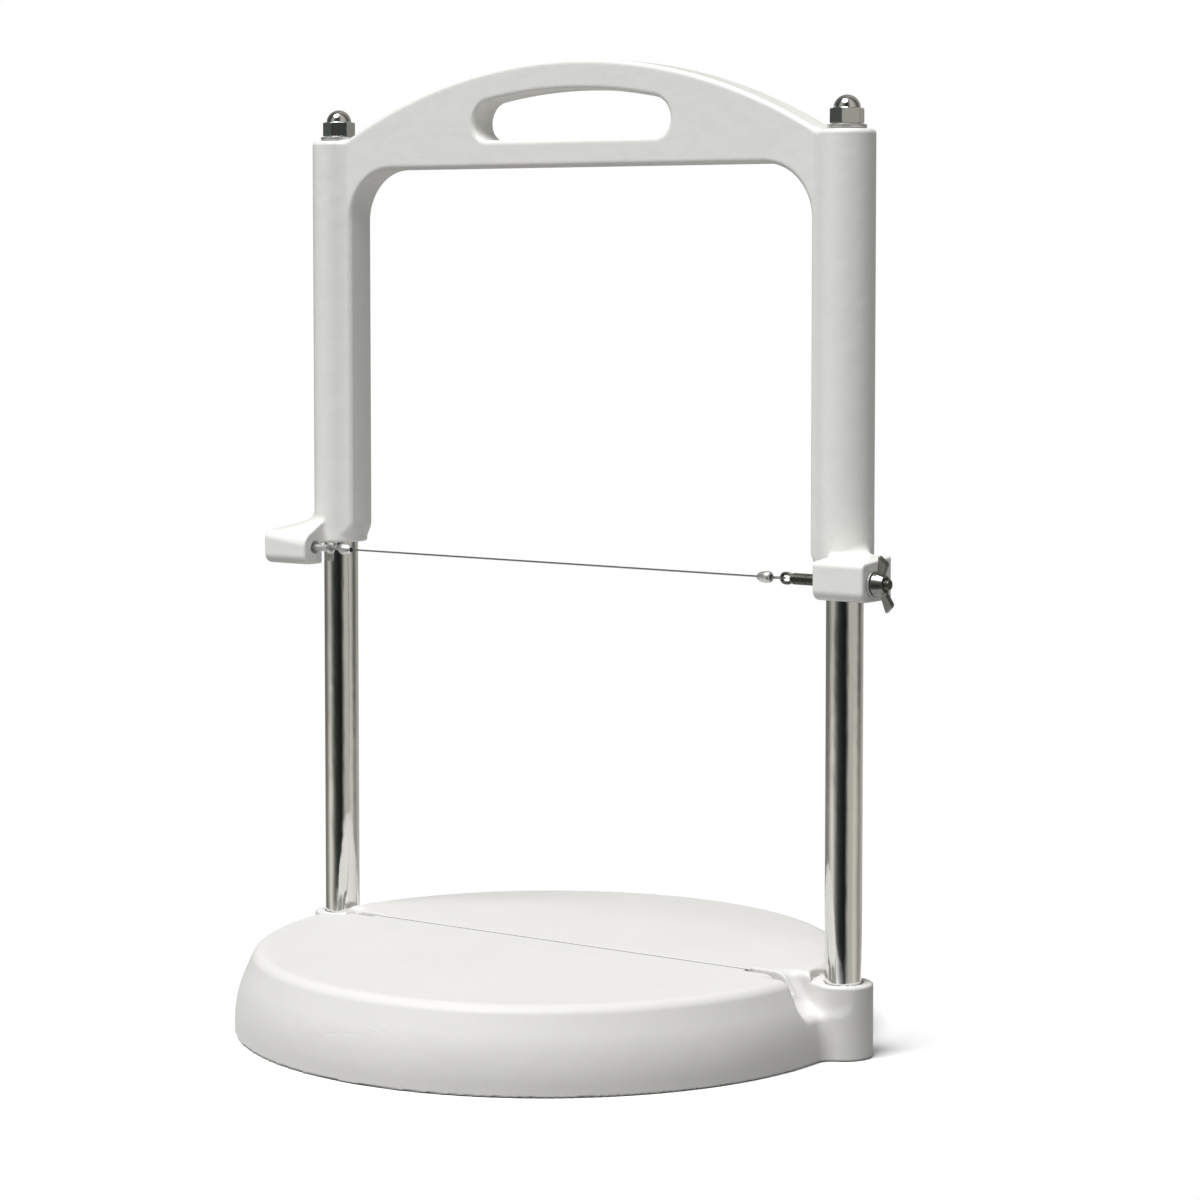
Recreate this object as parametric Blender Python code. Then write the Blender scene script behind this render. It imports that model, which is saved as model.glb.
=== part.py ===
"""Wire cheese cutter: a sprung arch frame slides down two posts and draws a taut wire through a cheese.

Metres, +Z up. The board rests on z = 0. The two posts stand at x = +-POST_SPACING / 2, y = 0, and the
user stands on the -Y side. The frame is modelled raised, where its springs hold it.
"""
import math

import bpy
import bmesh
import numpy as np
from mathutils.geometry import tessellate_polygon

# Clearances
SEAT_GAP = 0.0003
RUNNING_GAP = 0.0003
LANDING_GAP = 0.0008

# Board
BOARD_TOP = 0.036
BOARD_RIM_DRAW = 0.0094
BOARD_WALL_HEIGHT = 0.0152
BOARD_SHOULDER_EASE = 0.012
BOARD_TOP_EDGE = 0.0055
BOARD_FOOT_CHAMFER = 0.0006
BOARD_FORWARD = 0.024
BOSS_RADIUS = 0.013
BOSS_TOP = 0.0322
BOSS_EDGE = 0.001
BOSS_FILLET = 0.006
SOCKET_FLOOR = 0.014
NUT_RECESS_RADIUS = 0.0095
NUT_RECESS_DEPTH = 0.0100
GROOVE_WIDTH = 0.0024
GROOVE_DEPTH = 0.0085
CHANNEL_WIDTH = 0.007
POCKET_FLOOR = 0.020
POCKET_MARGIN = 0.0009
POCKET_BACK = 0.0097

# Posts and the guide rods inside them
POST_SPACING = 0.280
POST_OUTSIDE = 0.0025
POST_IN_MOUTH = 0.0054
POST_RADIUS = 0.008
POST_BORE_RADIUS = 0.0065
POST_EDGE = 0.0004
ROD_RADIUS = 0.004
ROD_FOOT = 0.0012
ROD_HOLE_GAP = 0.0004
SPRING_RADIUS = 0.0053
SPRING_WIRE = 0.0012

# Nuts and washers, M8
NUT_FLATS = 0.013
NUT_HEIGHT = 0.0065
NUT_FACE_RADIUS = 0.0069
NUT_CORNER_EASE = 0.0013
ACORN_HEIGHT = 0.0122
ACORN_DOME_RADIUS = 0.0058
ACORN_BORE_DEPTH = 0.0085
LEFT_ACORN_TURN = math.radians(-21.0)
RIGHT_ACORN_TURN = math.radians(-15.0)
WASHER_RADIUS = 0.0085
WASHER_THICKNESS = 0.0016

# Frame
TRAVEL = 0.175
SLEEVE_RADIUS = 0.013
SLEEVE_BORE_RADIUS = 0.0089
SLEEVE_FOOT_EDGE = 0.0012
SLEEVE_TOP_EDGE = 0.0022
CROWN_WALL = 0.0055
LAND_REACH = 0.0137
LAND_FOOT_RISE = 0.0035
LAND_FOOT_RADIUS = 0.0060
ARCH_RISE = 0.0335
ARCH_MEET_INSET = 0.0105
ARCH_THICKNESS = 0.016
ARCH_EDGE = 0.0022
BAR_DROP = 0.014
WINDOW_CORNER = 0.024
SLOT_WIDTH = 0.108
SLOT_DROP = 0.0015
GRIP_HEIGHT = 0.0135
SLOT_CORNER = 0.0075

# Lugs that hold the wire
WIRE_FORWARD = 0.0185
WIRE_DROP = 0.002
LUG_RADIUS = 0.0079
LUG_LENGTH = 0.025
LUG_BACK = 0.0030
LUG_END_RISE = 0.0090
LUG_SLOPE = 0.30
LUG_FILLET = 0.006
LUG_EDGE = 0.0012
LUG_RELIEF_GAP = 0.0006

# Bushes
MOUTH_BUSH_LENGTH = 0.020
MOUTH_BUSH_WALL = 0.0019
TOP_BUSH_WALL = 0.0023
TOP_BUSH_FLANGE = 0.0012
TOP_BUSH_FLANGE_RADIUS = 0.0085

# Cutting wire and its fittings
WIRE_RADIUS = 0.0004
LOOP_LENGTH = 0.006
LOOP_HALF_WIDTH = 0.0017
STRAND_SPACING = 0.0011
FERRULE_LENGTH = 0.0065
FERRULE_RADIUS = 0.0022
FERRULE_EDGE = 0.0005
FERRULE_CRIMP = 0.0003
EYE_RADIUS = 0.0020
EYE_WIRE_RADIUS = 0.00075
ANCHOR_EYE_OUT = 0.0090
ANCHOR_SHANK_RADIUS = 0.0016
ANCHOR_SHANK_DEPTH = 0.018
ANCHOR_MOUTH_RADIUS = 0.0029
ANCHOR_MOUTH_DEPTH = 0.004
SCREW_RADIUS = 0.0025
SCREW_INBOARD = 0.0148
SCREW_PROUD = 0.0085
SCREW_PLAY = 0.0024
SCREW_CHAMFER = 0.0005

# Wing nut, M5
WING_WASHER_RADIUS = 0.0055
WING_WASHER_THICKNESS = 0.0010
HUB_RADIUS = 0.0050
HUB_TIP_RADIUS = 0.0038
HUB_HEIGHT = 0.0050
HUB_BAND = 0.0013
WING_SPAN = 0.0264
WING_ROOT_HEIGHT = 0.0046
WING_TIP_LOW = 0.0038
WING_TIP_HIGH = 0.0079
WING_TIP_INSET = 0.0044
WING_CORNER = 0.001
WING_THICKNESS = 0.0020
WING_TILT = math.radians(14.0)

# Facets
BOARD_STEPS = 88
ROUND_STEPS = 32
SMALL_STEPS = 20
FERRULE_STEPS = 14

# Places worked out from the sizes above
POST_X = POST_SPACING / 2
BOARD_RADIUS = math.hypot(POST_X, BOARD_FORWARD) - POST_OUTSIDE
BOARD_TOP_RADIUS = BOARD_RADIUS - BOARD_RIM_DRAW
SLEEVE_FOOT = BOSS_TOP + LANDING_GAP + TRAVEL
POST_FOOT = SOCKET_FLOOR + SEAT_GAP
POST_TOP = SLEEVE_FOOT + POST_IN_MOUTH
FLANGE_UNDER = POST_TOP + TRAVEL + 2 * SEAT_GAP
CROWN_UNDER = FLANGE_UNDER + TOP_BUSH_FLANGE + SEAT_GAP
SLEEVE_TOP = CROWN_UNDER + CROWN_WALL
ARCH_TOP = SLEEVE_TOP + ARCH_RISE
ARCH_RADIUS = ((POST_X - ARCH_MEET_INSET) ** 2 + ARCH_RISE ** 2) / (2 * ARCH_RISE)
BAR_BOTTOM = SLEEVE_TOP - BAR_DROP
SLOT_BOTTOM = SLEEVE_TOP - SLOT_DROP
WIRE_HEIGHT = SLEEVE_FOOT - WIRE_DROP
LUG_END_TOP = WIRE_HEIGHT + LUG_END_RISE
STOP_WASHER_FOOT = SLEEVE_TOP + SEAT_GAP
ACORN_FOOT = STOP_WASHER_FOOT + WASHER_THICKNESS
ROD_TOP = ACORN_FOOT + ACORN_BORE_DEPTH - SEAT_GAP
MOUTH_BUSH_RADIUS = POST_RADIUS + RUNNING_GAP + MOUTH_BUSH_WALL
TOP_BUSH_RADIUS = ROD_RADIUS + RUNNING_GAP + TOP_BUSH_WALL
LUG_INNER_X = POST_X
LUG_OUTER_X = POST_X + LUG_LENGTH
SCREW_SHANK_X = LUG_INNER_X - SCREW_INBOARD
EYE_STRAIGHT = SCREW_PLAY - 2 * EYE_RADIUS + 2 * (EYE_WIRE_RADIUS + WIRE_RADIUS + RUNNING_GAP)


def material(name, colour, roughness, metallic=0.0):
    """A plain Principled material."""
    made = bpy.data.materials.new(name)
    made.use_nodes = True
    shader = made.node_tree.nodes["Principled BSDF"]
    shader.inputs["Base Color"].default_value = (*colour, 1.0)
    shader.inputs["Roughness"].default_value = roughness
    shader.inputs["Metallic"].default_value = metallic
    made.diffuse_color = (*colour, 1.0)
    return made


def add_object(name, mesh, surface=None):
    """Put a mesh in the scene under a piece's name, smooth with its sharp edges kept."""
    mesh.shade_smooth()
    mesh.set_sharp_from_angle(angle=math.radians(32))
    piece = bpy.data.objects.new(name, mesh)
    bpy.context.collection.objects.link(piece)
    if surface is not None:
        mesh.materials.clear()
        mesh.materials.append(surface)
    return piece


def mesh_from(name, points, faces):
    """A mesh with its faces turned outwards."""
    mesh = bpy.data.meshes.new(name)
    mesh.from_pydata([tuple(point) for point in points], [], faces)
    shape = bmesh.new()
    shape.from_mesh(mesh)
    bmesh.ops.recalc_face_normals(shape, faces=shape.faces)
    shape.to_mesh(mesh)
    shape.free()
    return mesh


def rings_mesh(name, rings, closed_stack=False, capped=True):
    """Join equal rings of points one after another into a closed skin."""
    count = len(rings[0])
    points = [point for ring in rings for point in ring]
    faces = []
    last = len(rings) if closed_stack else len(rings) - 1
    for row in range(last):
        upper = (row + 1) % len(rings)
        for step in range(count):
            ahead = (step + 1) % count
            faces.append((row * count + step, row * count + ahead,
                          upper * count + ahead, upper * count + step))
    if capped and not closed_stack:
        faces.append(tuple(range(count)))
        faces.append(tuple((len(rings) - 1) * count + step for step in range(count)))
    return mesh_from(name, points, faces)


def turned(name, profile, steps=ROUND_STEPS, hollow=False):
    """Turn (radius, height) points about Z. A hollow profile closes on itself round its bore."""
    angles = [2 * math.pi * step / steps for step in range(steps)]
    rings = [[(radius * math.cos(angle), radius * math.sin(angle), height) for angle in angles]
             for radius, height in profile]
    return rings_mesh(name, rings, closed_stack=hollow)


def tube(name, outer, inner, foot, top, steps=ROUND_STEPS):
    """A turned tube with square ends."""
    return turned(name, [(inner, foot), (outer, foot), (outer, top), (inner, top)], steps, hollow=True)


def place_points(mesh, shift=(0.0, 0.0, 0.0), turn_x=0.0, along_x=False, mirrored=False):
    """Move a mesh's points: lay Z along X, turn about X, shift, then mirror to the left side."""
    count = len(mesh.vertices)
    points = np.empty(count * 3)
    mesh.vertices.foreach_get("co", points)
    points = points.reshape(-1, 3)
    if along_x:
        points = np.stack([points[:, 2], points[:, 1], -points[:, 0]], 1)
    cosine, sine = math.cos(turn_x), math.sin(turn_x)
    points = np.stack([points[:, 0], cosine * points[:, 1] - sine * points[:, 2],
                       sine * points[:, 1] + cosine * points[:, 2]], 1)
    points = points + np.array(shift)
    if mirrored:
        points[:, 0] *= -1
        mesh.flip_normals()
    mesh.vertices.foreach_set("co", points.ravel())
    mesh.update()
    return mesh


def combined(name, first, others, operation):
    """The exact union or difference of one mesh and several others."""
    body = bpy.data.objects.new(name + "_body", first)
    bpy.context.collection.objects.link(body)
    helpers = []
    for number, mesh in enumerate(others):
        helper = bpy.data.objects.new(f"{name}_tool_{number}", mesh)
        bpy.context.collection.objects.link(helper)
        helper.hide_render = True
        helper.display_type = 'WIRE'
        cut = body.modifiers.new(helper.name, 'BOOLEAN')
        cut.operation = operation
        cut.solver = 'EXACT'
        cut.object = helper
        helpers.append(helper)
    bpy.context.view_layer.update()
    result = bpy.data.meshes.new_from_object(body.evaluated_get(bpy.context.evaluated_depsgraph_get()))
    for helper in [body] + helpers:
        bpy.data.objects.remove(helper)
    shape = bmesh.new()
    shape.from_mesh(result)
    bmesh.ops.remove_doubles(shape, verts=shape.verts, dist=1e-6)
    bmesh.ops.dissolve_degenerate(shape, dist=1e-6, edges=shape.edges)
    stray = [edge for edge in shape.edges if not edge.link_faces]
    bmesh.ops.delete(shape, geom=stray, context='EDGES')
    shape.to_mesh(result)
    shape.free()
    result.name = name
    return result


def box_mesh(name, low, high):
    """A box between two corners."""
    ring = [(low[0], low[1]), (high[0], low[1]), (high[0], high[1]), (low[0], high[1])]
    return rings_mesh(name, [[(x, y, z) for x, y in ring] for z in (low[2], high[2])])


def arc(centre, radius, start, end, steps):
    """Points on an arc, angles in radians, both ends included."""
    angles = [start + (end - start) * step / steps for step in range(steps + 1)]
    x, y = centre
    return [(x + radius * math.cos(angle), y + radius * math.sin(angle)) for angle in angles]


def inset(loop, distance):
    """Move a counter-clockwise loop inwards, square to its sides."""
    points = np.array(loop)
    ahead = np.roll(points, -1, axis=0) - points
    ahead /= np.linalg.norm(ahead, axis=1)[:, None]
    normal = np.stack([-ahead[:, 1], ahead[:, 0]], 1)
    before = np.roll(normal, 1, axis=0)
    middle = normal + before
    middle /= np.linalg.norm(middle, axis=1)[:, None]
    reach = distance / np.maximum((middle * normal).sum(1), 0.5)
    return points + middle * reach[:, None]


def rounded_plate(name, outline, holes, thickness, edge, steps=3):
    """An upright plate in XZ with rounded edges. The outline runs counter-clockwise, holes clockwise."""
    half = thickness / 2
    offsets = [(edge + distance, edge - half + depth)
               for distance, depth in arc((0.0, 0.0), edge, -math.pi / 2, -math.pi, steps)]
    offsets += [(distance, -depth) for distance, depth in reversed(offsets)]
    points, faces, caps = [], [], [[], []]
    for loop in [outline] + holes:
        count = len(loop)
        first = len(points)
        for distance, depth in offsets:
            points += [(x, depth, z) for x, z in inset(loop, distance)]
        for row in range(len(offsets) - 1):
            base = first + row * count
            for step in range(count):
                ahead = (step + 1) % count
                faces.append((base + step, base + ahead, base + count + ahead, base + count + step))
        caps[0].append(range(first, first + count))
        last = first + (len(offsets) - 1) * count
        caps[1].append(range(last, last + count))
    for cap in caps:
        loops = [list(indices) for indices in cap]
        flat = [index for indices in loops for index in indices]
        fill = tessellate_polygon([[(points[index][0], points[index][2], 0.0) for index in indices]
                                   for indices in loops])
        faces += [tuple(flat[corner] for corner in triangle) for triangle in fill]
    return mesh_from(name, points, faces)


def board_profile():
    """Half section of the board: eased foot, upright wall, sloping shoulder and rounded top edge."""
    lean = math.atan2(BOARD_RADIUS - BOARD_TOP_RADIUS, BOARD_TOP - BOARD_WALL_HEIGHT)
    profile = [(BOARD_RADIUS - BOARD_FOOT_CHAMFER, 0.0), (BOARD_RADIUS, BOARD_FOOT_CHAMFER)]
    back = BOARD_SHOULDER_EASE * math.tan(lean / 2)
    centre = (BOARD_RADIUS - BOARD_SHOULDER_EASE, BOARD_WALL_HEIGHT - back)
    profile += arc(centre, BOARD_SHOULDER_EASE, 0.0, lean, 2)
    back = BOARD_TOP_EDGE * math.tan((math.pi / 2 - lean) / 2)
    centre = (BOARD_TOP_RADIUS - back, BOARD_TOP - BOARD_TOP_EDGE)
    return profile + arc(centre, BOARD_TOP_EDGE, lean, math.pi / 2, 5)


def fairing(side, front):
    """Fill the hollow corner between the board's wall and one boss with a fillet of BOSS_FILLET."""
    board = np.array([0.0, -BOARD_FORWARD])
    boss = np.array([side * POST_X, 0.0])
    to_boss = boss - board
    distance = np.linalg.norm(to_boss)
    along = to_boss / distance
    across = np.array([-along[1], along[0]])
    far, near = BOARD_RADIUS + BOSS_FILLET, BOSS_RADIUS + BOSS_FILLET
    forward = (distance ** 2 + far ** 2 - near ** 2) / (2 * distance)
    aside = math.sqrt(far ** 2 - forward ** 2)
    if (across[1] > 0) == front:
        across = -across
    centre = board + along * forward + across * aside
    on_board = board + (centre - board) * (BOARD_RADIUS - SEAT_GAP) / far
    on_boss = boss + (centre - boss) * (BOSS_RADIUS - SEAT_GAP) / near
    start = math.atan2(*(on_board - centre)[::-1])
    end = math.atan2(*(on_boss - centre)[::-1])
    if end - start > math.pi:
        end -= 2 * math.pi
    if start - end > math.pi:
        end += 2 * math.pi
    curve = arc(centre, BOSS_FILLET, start, end, 6)
    inner = boss - along * POST_RADIUS
    outline = [tuple(on_board)] + curve + [tuple(on_boss), tuple(inner)]
    rings = [[(x, y, z) for x, y in outline] for z in (BOARD_FOOT_CHAMFER, POCKET_FLOOR)]
    return rings_mesh("fairing", rings)


def make_board(surface):
    """The round board with its two bosses, wire groove, lug pockets, sleeve landings and post sockets."""
    board = place_points(turned("board", board_profile(), BOARD_STEPS), (0.0, -BOARD_FORWARD, 0.0))
    above = BOARD_TOP + BOSS_RADIUS
    floor = BOARD_TOP - GROOVE_DEPTH
    pocket_inner = SCREW_SHANK_X - SCREW_PLAY
    channel_inner = SCREW_SHANK_X - EYE_RADIUS * 2 - EYE_STRAIGHT - LOOP_LENGTH - FERRULE_LENGTH
    reach = BOARD_RADIUS + BOSS_RADIUS
    cuts = [box_mesh("groove", (-pocket_inner, -WIRE_FORWARD - GROOVE_WIDTH / 2, floor),
                     (pocket_inner, -WIRE_FORWARD + GROOVE_WIDTH / 2, above))]
    for side in (-1, 1):
        ends = sorted((side * channel_inner, side * reach))
        cuts.append(box_mesh("channel", (ends[0], -WIRE_FORWARD - CHANNEL_WIDTH / 2, floor),
                             (ends[1], -WIRE_FORWARD + CHANNEL_WIDTH / 2, above)))
        ends = sorted((side * pocket_inner, side * reach))
        cuts.append(box_mesh("pocket", (ends[0], -WIRE_FORWARD - LUG_RADIUS - POCKET_MARGIN, POCKET_FLOOR),
                             (ends[1], -POCKET_BACK, above)))
    board = combined("board_cut", board, cuts, 'DIFFERENCE')
    boss = [(BOSS_RADIUS - BOARD_FOOT_CHAMFER, 0.0), (BOSS_RADIUS, BOARD_FOOT_CHAMFER),
            (BOSS_RADIUS, BOSS_TOP - BOSS_EDGE), (BOSS_RADIUS - BOSS_EDGE, BOSS_TOP)]
    added = []
    for side in (-1, 1):
        added.append(place_points(turned("boss", boss), (side * POST_X, 0.0, 0.0)))
        added += [fairing(side, front) for front in (True, False)]
    board = combined("board_bossed", board, added, 'UNION')
    below = -BOSS_EDGE
    socket = POST_RADIUS + SEAT_GAP
    rod_hole = ROD_RADIUS + ROD_HOLE_GAP
    landing = SLEEVE_RADIUS + LANDING_GAP
    hole = [(NUT_RECESS_RADIUS, below), (NUT_RECESS_RADIUS, NUT_RECESS_DEPTH), (rod_hole, NUT_RECESS_DEPTH),
            (rod_hole, SOCKET_FLOOR), (socket, SOCKET_FLOOR), (socket, BOSS_TOP), (landing, BOSS_TOP),
            (landing, above)]
    holes = [place_points(turned("hole", hole), (side * POST_X, 0.0, 0.0)) for side in (-1, 1)]
    return add_object("base_board", combined("base_board", board, holes, 'DIFFERENCE'), surface)


def arch_outline():
    """The arch with its two legs, counter-clockwise in XZ. The legs run down inside the sleeves."""
    leg_inner = POST_X - LAND_REACH
    foot = SLEEVE_FOOT + LAND_FOOT_RISE
    middle = (0.0, ARCH_TOP - ARCH_RADIUS)
    spread = math.asin(POST_X / ARCH_RADIUS)
    outline = arc(middle, ARCH_RADIUS, math.pi / 2 - spread, math.pi / 2 + spread, 36)
    corner = (leg_inner - WINDOW_CORNER, BAR_BOTTOM - WINDOW_CORNER)
    toe = LAND_FOOT_RADIUS
    right = [(POST_X, foot)]
    right += arc((leg_inner + toe, foot + toe), toe, 3 * math.pi / 2, math.pi, 6)
    right += arc(corner, WINDOW_CORNER, 0.0, math.pi / 2, 9)
    left = [(-x, z) for x, z in right]
    return outline + left + right[::-1]


def slot_outline():
    """The hand slot, clockwise in XZ: a flat foot and a top that follows the arch."""
    half = SLOT_WIDTH / 2
    middle = (0.0, ARCH_TOP - ARCH_RADIUS)
    top_radius = ARCH_RADIUS - GRIP_HEIGHT
    low = (half - SLOT_CORNER, SLOT_BOTTOM + SLOT_CORNER)
    reach = top_radius - SLOT_CORNER
    high = (half - SLOT_CORNER, middle[1] + math.sqrt(reach ** 2 - low[0] ** 2))
    lean = math.atan2(high[1] - middle[1], high[0])
    right = arc(middle, top_radius, math.pi / 2, lean, 8)[1:]
    right += arc(high, SLOT_CORNER, lean, 0.0, 5)[1:]
    right += arc(low, SLOT_CORNER, 0.0, -math.pi / 2, 5)
    left = [(-x, z) for x, z in right]
    return [(0.0, middle[1] + top_radius)] + right + left[::-1]


def lug_section(x, shrink):
    """One YZ ring of a lug: round front, flat foot and a top that climbs back to the sleeve."""
    outer = LUG_OUTER_X
    back_top = LUG_END_TOP + LUG_SLOPE * (outer - x)
    wall = POST_X + math.sqrt(SLEEVE_RADIUS ** 2 - LUG_BACK ** 2)
    near = min(max((wall + LUG_FILLET - x) / LUG_FILLET, 0.0), 1.0)
    back_top += LUG_FILLET * (1 - math.sqrt(1 - near ** 2))
    radius = LUG_RADIUS - shrink
    centre = (-WIRE_FORWARD, WIRE_HEIGHT)
    back = -LUG_BACK - shrink
    slope = math.atan2(back_top - WIRE_HEIGHT - LUG_RADIUS, WIRE_FORWARD - LUG_BACK)
    front = arc(centre, radius, math.pi / 2 + slope, 3 * math.pi / 2, 12)
    ring = [(back, back_top - shrink)] + front + [(back, WIRE_HEIGHT - radius)]
    return [(x, y, z) for y, z in ring]


def lug_mesh(side):
    """A lug lofted along X, its two end faces eased."""
    inner, outer = LUG_INNER_X + LUG_EDGE, LUG_OUTER_X - LUG_EDGE
    stations = arc((inner, LUG_EDGE), LUG_EDGE, math.pi, 3 * math.pi / 2, 2)
    steps = 9
    stations += [(inner + (outer - inner) * step / steps, 0.0) for step in range(1, steps)]
    stations += arc((outer, LUG_EDGE), LUG_EDGE, 3 * math.pi / 2, 2 * math.pi, 2)
    mesh = rings_mesh("lug", [lug_section(x, shrink) for x, shrink in stations])
    return place_points(mesh, mirrored=side < 0)


def make_frame(surface):
    """The cast arch: hand slot, two round sleeves with closed crowns and two wire lugs."""
    body = rounded_plate("arch", arch_outline(), [slot_outline()], ARCH_THICKNESS, ARCH_EDGE)
    sleeve = [(SLEEVE_RADIUS - SLEEVE_FOOT_EDGE, SLEEVE_FOOT),
              (SLEEVE_RADIUS, SLEEVE_FOOT + SLEEVE_FOOT_EDGE)]
    sleeve += arc((SLEEVE_RADIUS - SLEEVE_TOP_EDGE, SLEEVE_TOP - SLEEVE_TOP_EDGE), SLEEVE_TOP_EDGE,
                  0.0, math.pi / 2, 3)
    added = []
    for side in (-1, 1):
        added.append(place_points(turned("sleeve", sleeve), (side * POST_X, 0.0, 0.0)))
        added.append(lug_mesh(side))
    body = combined("arch_joined", body, added, 'UNION')
    beyond = SLEEVE_RADIUS
    mouth = MOUTH_BUSH_RADIUS + SEAT_GAP
    shelf = SLEEVE_FOOT + MOUTH_BUSH_LENGTH + 2 * SEAT_GAP
    crown_hole = TOP_BUSH_RADIUS + SEAT_GAP
    bore = [(mouth, SLEEVE_FOOT - beyond), (mouth, shelf), (SLEEVE_BORE_RADIUS, shelf),
            (SLEEVE_BORE_RADIUS, CROWN_UNDER), (crown_hole, CROWN_UNDER),
            (crown_hole, SLEEVE_TOP + beyond)]
    relief = [(BOSS_RADIUS + LUG_RELIEF_GAP, WIRE_HEIGHT - 2 * LUG_RADIUS),
              (BOSS_RADIUS + LUG_RELIEF_GAP, SLEEVE_FOOT)]
    cuts = []
    for side in (-1, 1):
        cuts.append(place_points(turned("bore", bore), (side * POST_X, 0.0, 0.0)))
        cuts.append(place_points(turned("relief", relief), (side * POST_X, 0.0, 0.0)))
    screw_bore = SCREW_RADIUS + RUNNING_GAP
    screw_hole = [(screw_bore, LUG_INNER_X - beyond), (screw_bore, LUG_OUTER_X + beyond)]
    anchor_bore = ANCHOR_SHANK_RADIUS + SEAT_GAP
    mouth_end = LUG_INNER_X + ANCHOR_MOUTH_DEPTH
    anchor_hole = [(ANCHOR_MOUTH_RADIUS, LUG_INNER_X - beyond), (ANCHOR_MOUTH_RADIUS, mouth_end),
                   (anchor_bore, mouth_end),
                   (anchor_bore, LUG_INNER_X + ANCHOR_SHANK_DEPTH + SEAT_GAP)]
    axis = (0.0, -WIRE_FORWARD, WIRE_HEIGHT)
    cuts.append(place_points(turned("screw_hole", screw_hole, SMALL_STEPS), axis, along_x=True))
    anchor_tool = turned("anchor_hole", anchor_hole, SMALL_STEPS)
    cuts.append(place_points(anchor_tool, axis, along_x=True, mirrored=True))
    return add_object("arch_frame", combined("arch_frame", body, cuts, 'DIFFERENCE'), surface)


def nut_body(foot, turn=0.0):
    """A hexagon across NUT_FLATS, turned about Z, its corners eased to a round face at both ends."""
    corner = NUT_FLATS / 2 / math.cos(math.pi / 6)
    top = foot + NUT_HEIGHT
    angles = [turn + math.pi / 3 * side for side in range(6)]
    rings = [[(corner * math.cos(angle), corner * math.sin(angle), height) for angle in angles]
             for height in (foot, top)]
    beyond = corner + NUT_CORNER_EASE
    slope = (beyond - NUT_FACE_RADIUS) / NUT_CORNER_EASE
    outside = SEAT_GAP
    easing = [(NUT_FACE_RADIUS - slope * outside, foot - outside), (beyond, foot + NUT_CORNER_EASE),
              (beyond, top - NUT_CORNER_EASE), (NUT_FACE_RADIUS - slope * outside, top + outside)]
    return combined("nut_eased", rings_mesh("hexagon", rings), [turned("easing", easing, SMALL_STEPS)],
                    'INTERSECT')


def hex_nut(name, foot):
    """A plain nut with its bore open at both ends."""
    bore = [(ROD_RADIUS + SEAT_GAP, foot - NUT_HEIGHT), (ROD_RADIUS + SEAT_GAP, foot + 2 * NUT_HEIGHT)]
    return combined(name, nut_body(foot), [turned("bore", bore, SMALL_STEPS)], 'DIFFERENCE')


def acorn_nut(name, foot, turn):
    """A domed nut: hexagon below, ball dome above, blind bore from beneath."""
    dome_foot = foot + ACORN_HEIGHT - ACORN_DOME_RADIUS
    dome = [(ACORN_DOME_RADIUS, foot + NUT_HEIGHT / 2)]
    steps = 7
    dome += arc((0.0, dome_foot), ACORN_DOME_RADIUS, 0.0, math.pi / 2, steps)[:steps]
    body = combined("acorn", nut_body(foot, turn), [turned("dome", dome, SMALL_STEPS)], 'UNION')
    bore = [(ROD_RADIUS + SEAT_GAP, foot - NUT_HEIGHT), (ROD_RADIUS + SEAT_GAP, foot + ACORN_BORE_DEPTH)]
    return combined(name, body, [turned("bore", bore, SMALL_STEPS)], 'DIFFERENCE')


def curve_tube(name, points, radius, cyclic=False, resolution=2):
    """A round bar along a row of points, with filled ends unless it is a ring."""
    data = bpy.data.curves.new(name, 'CURVE')
    data.dimensions = '3D'
    data.bevel_depth = radius
    data.bevel_resolution = resolution
    data.use_fill_caps = not cyclic
    spline = data.splines.new('POLY')
    spline.points.add(len(points) - 1)
    for target, point in zip(spline.points, points):
        target.co = (*point, 1.0)
    spline.use_cyclic_u = cyclic
    holder = bpy.data.objects.new(name, data)
    bpy.context.collection.objects.link(holder)
    bpy.context.view_layer.update()
    mesh = bpy.data.meshes.new_from_object(holder.evaluated_get(bpy.context.evaluated_depsgraph_get()))
    bpy.data.objects.remove(holder)
    shape = bmesh.new()
    shape.from_mesh(mesh)
    bmesh.ops.remove_doubles(shape, verts=shape.verts, dist=1e-7)
    bmesh.ops.recalc_face_normals(shape, faces=shape.faces)
    shape.to_mesh(mesh)
    shape.free()
    return mesh


def eye_ring(name, inner_x, straight, steps=9):
    """A link-shaped eye in the XZ plane; its near bar's centre lies at inner_x, the far one outboard."""
    near = inner_x + EYE_RADIUS
    far = near + straight
    path = arc((near, WIRE_HEIGHT), EYE_RADIUS, math.pi / 2, 3 * math.pi / 2, steps)
    path += arc((far, WIRE_HEIGHT), EYE_RADIUS, -math.pi / 2, math.pi / 2, steps)
    return curve_tube(name, [(x, -WIRE_FORWARD, z) for x, z in path], EYE_WIRE_RADIUS, cyclic=True)


def loop_points(tip_x, side, steps=12):
    """A drop-shaped loop of wire in the XY plane, from its free tail round the tip to the main run."""
    def place(angle, sign, spread):
        x = tip_x - LOOP_LENGTH * (1 - math.cos(angle)) / 2
        y = sign * (LOOP_HALF_WIDTH * math.sin(angle) + spread * angle / math.pi)
        return (side * x, -WIRE_FORWARD + y, WIRE_HEIGHT)
    tail_end = tip_x - LOOP_LENGTH - FERRULE_LENGTH + FERRULE_EDGE
    tail = [(side * tail_end, -WIRE_FORWARD - STRAND_SPACING, WIRE_HEIGHT)]
    tail += [place(math.pi * (steps - step) / steps, -1, STRAND_SPACING) for step in range(steps)]
    main = [place(math.pi * step / steps, 1, 0.0) for step in range(steps + 1)]
    return tail + main


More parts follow.
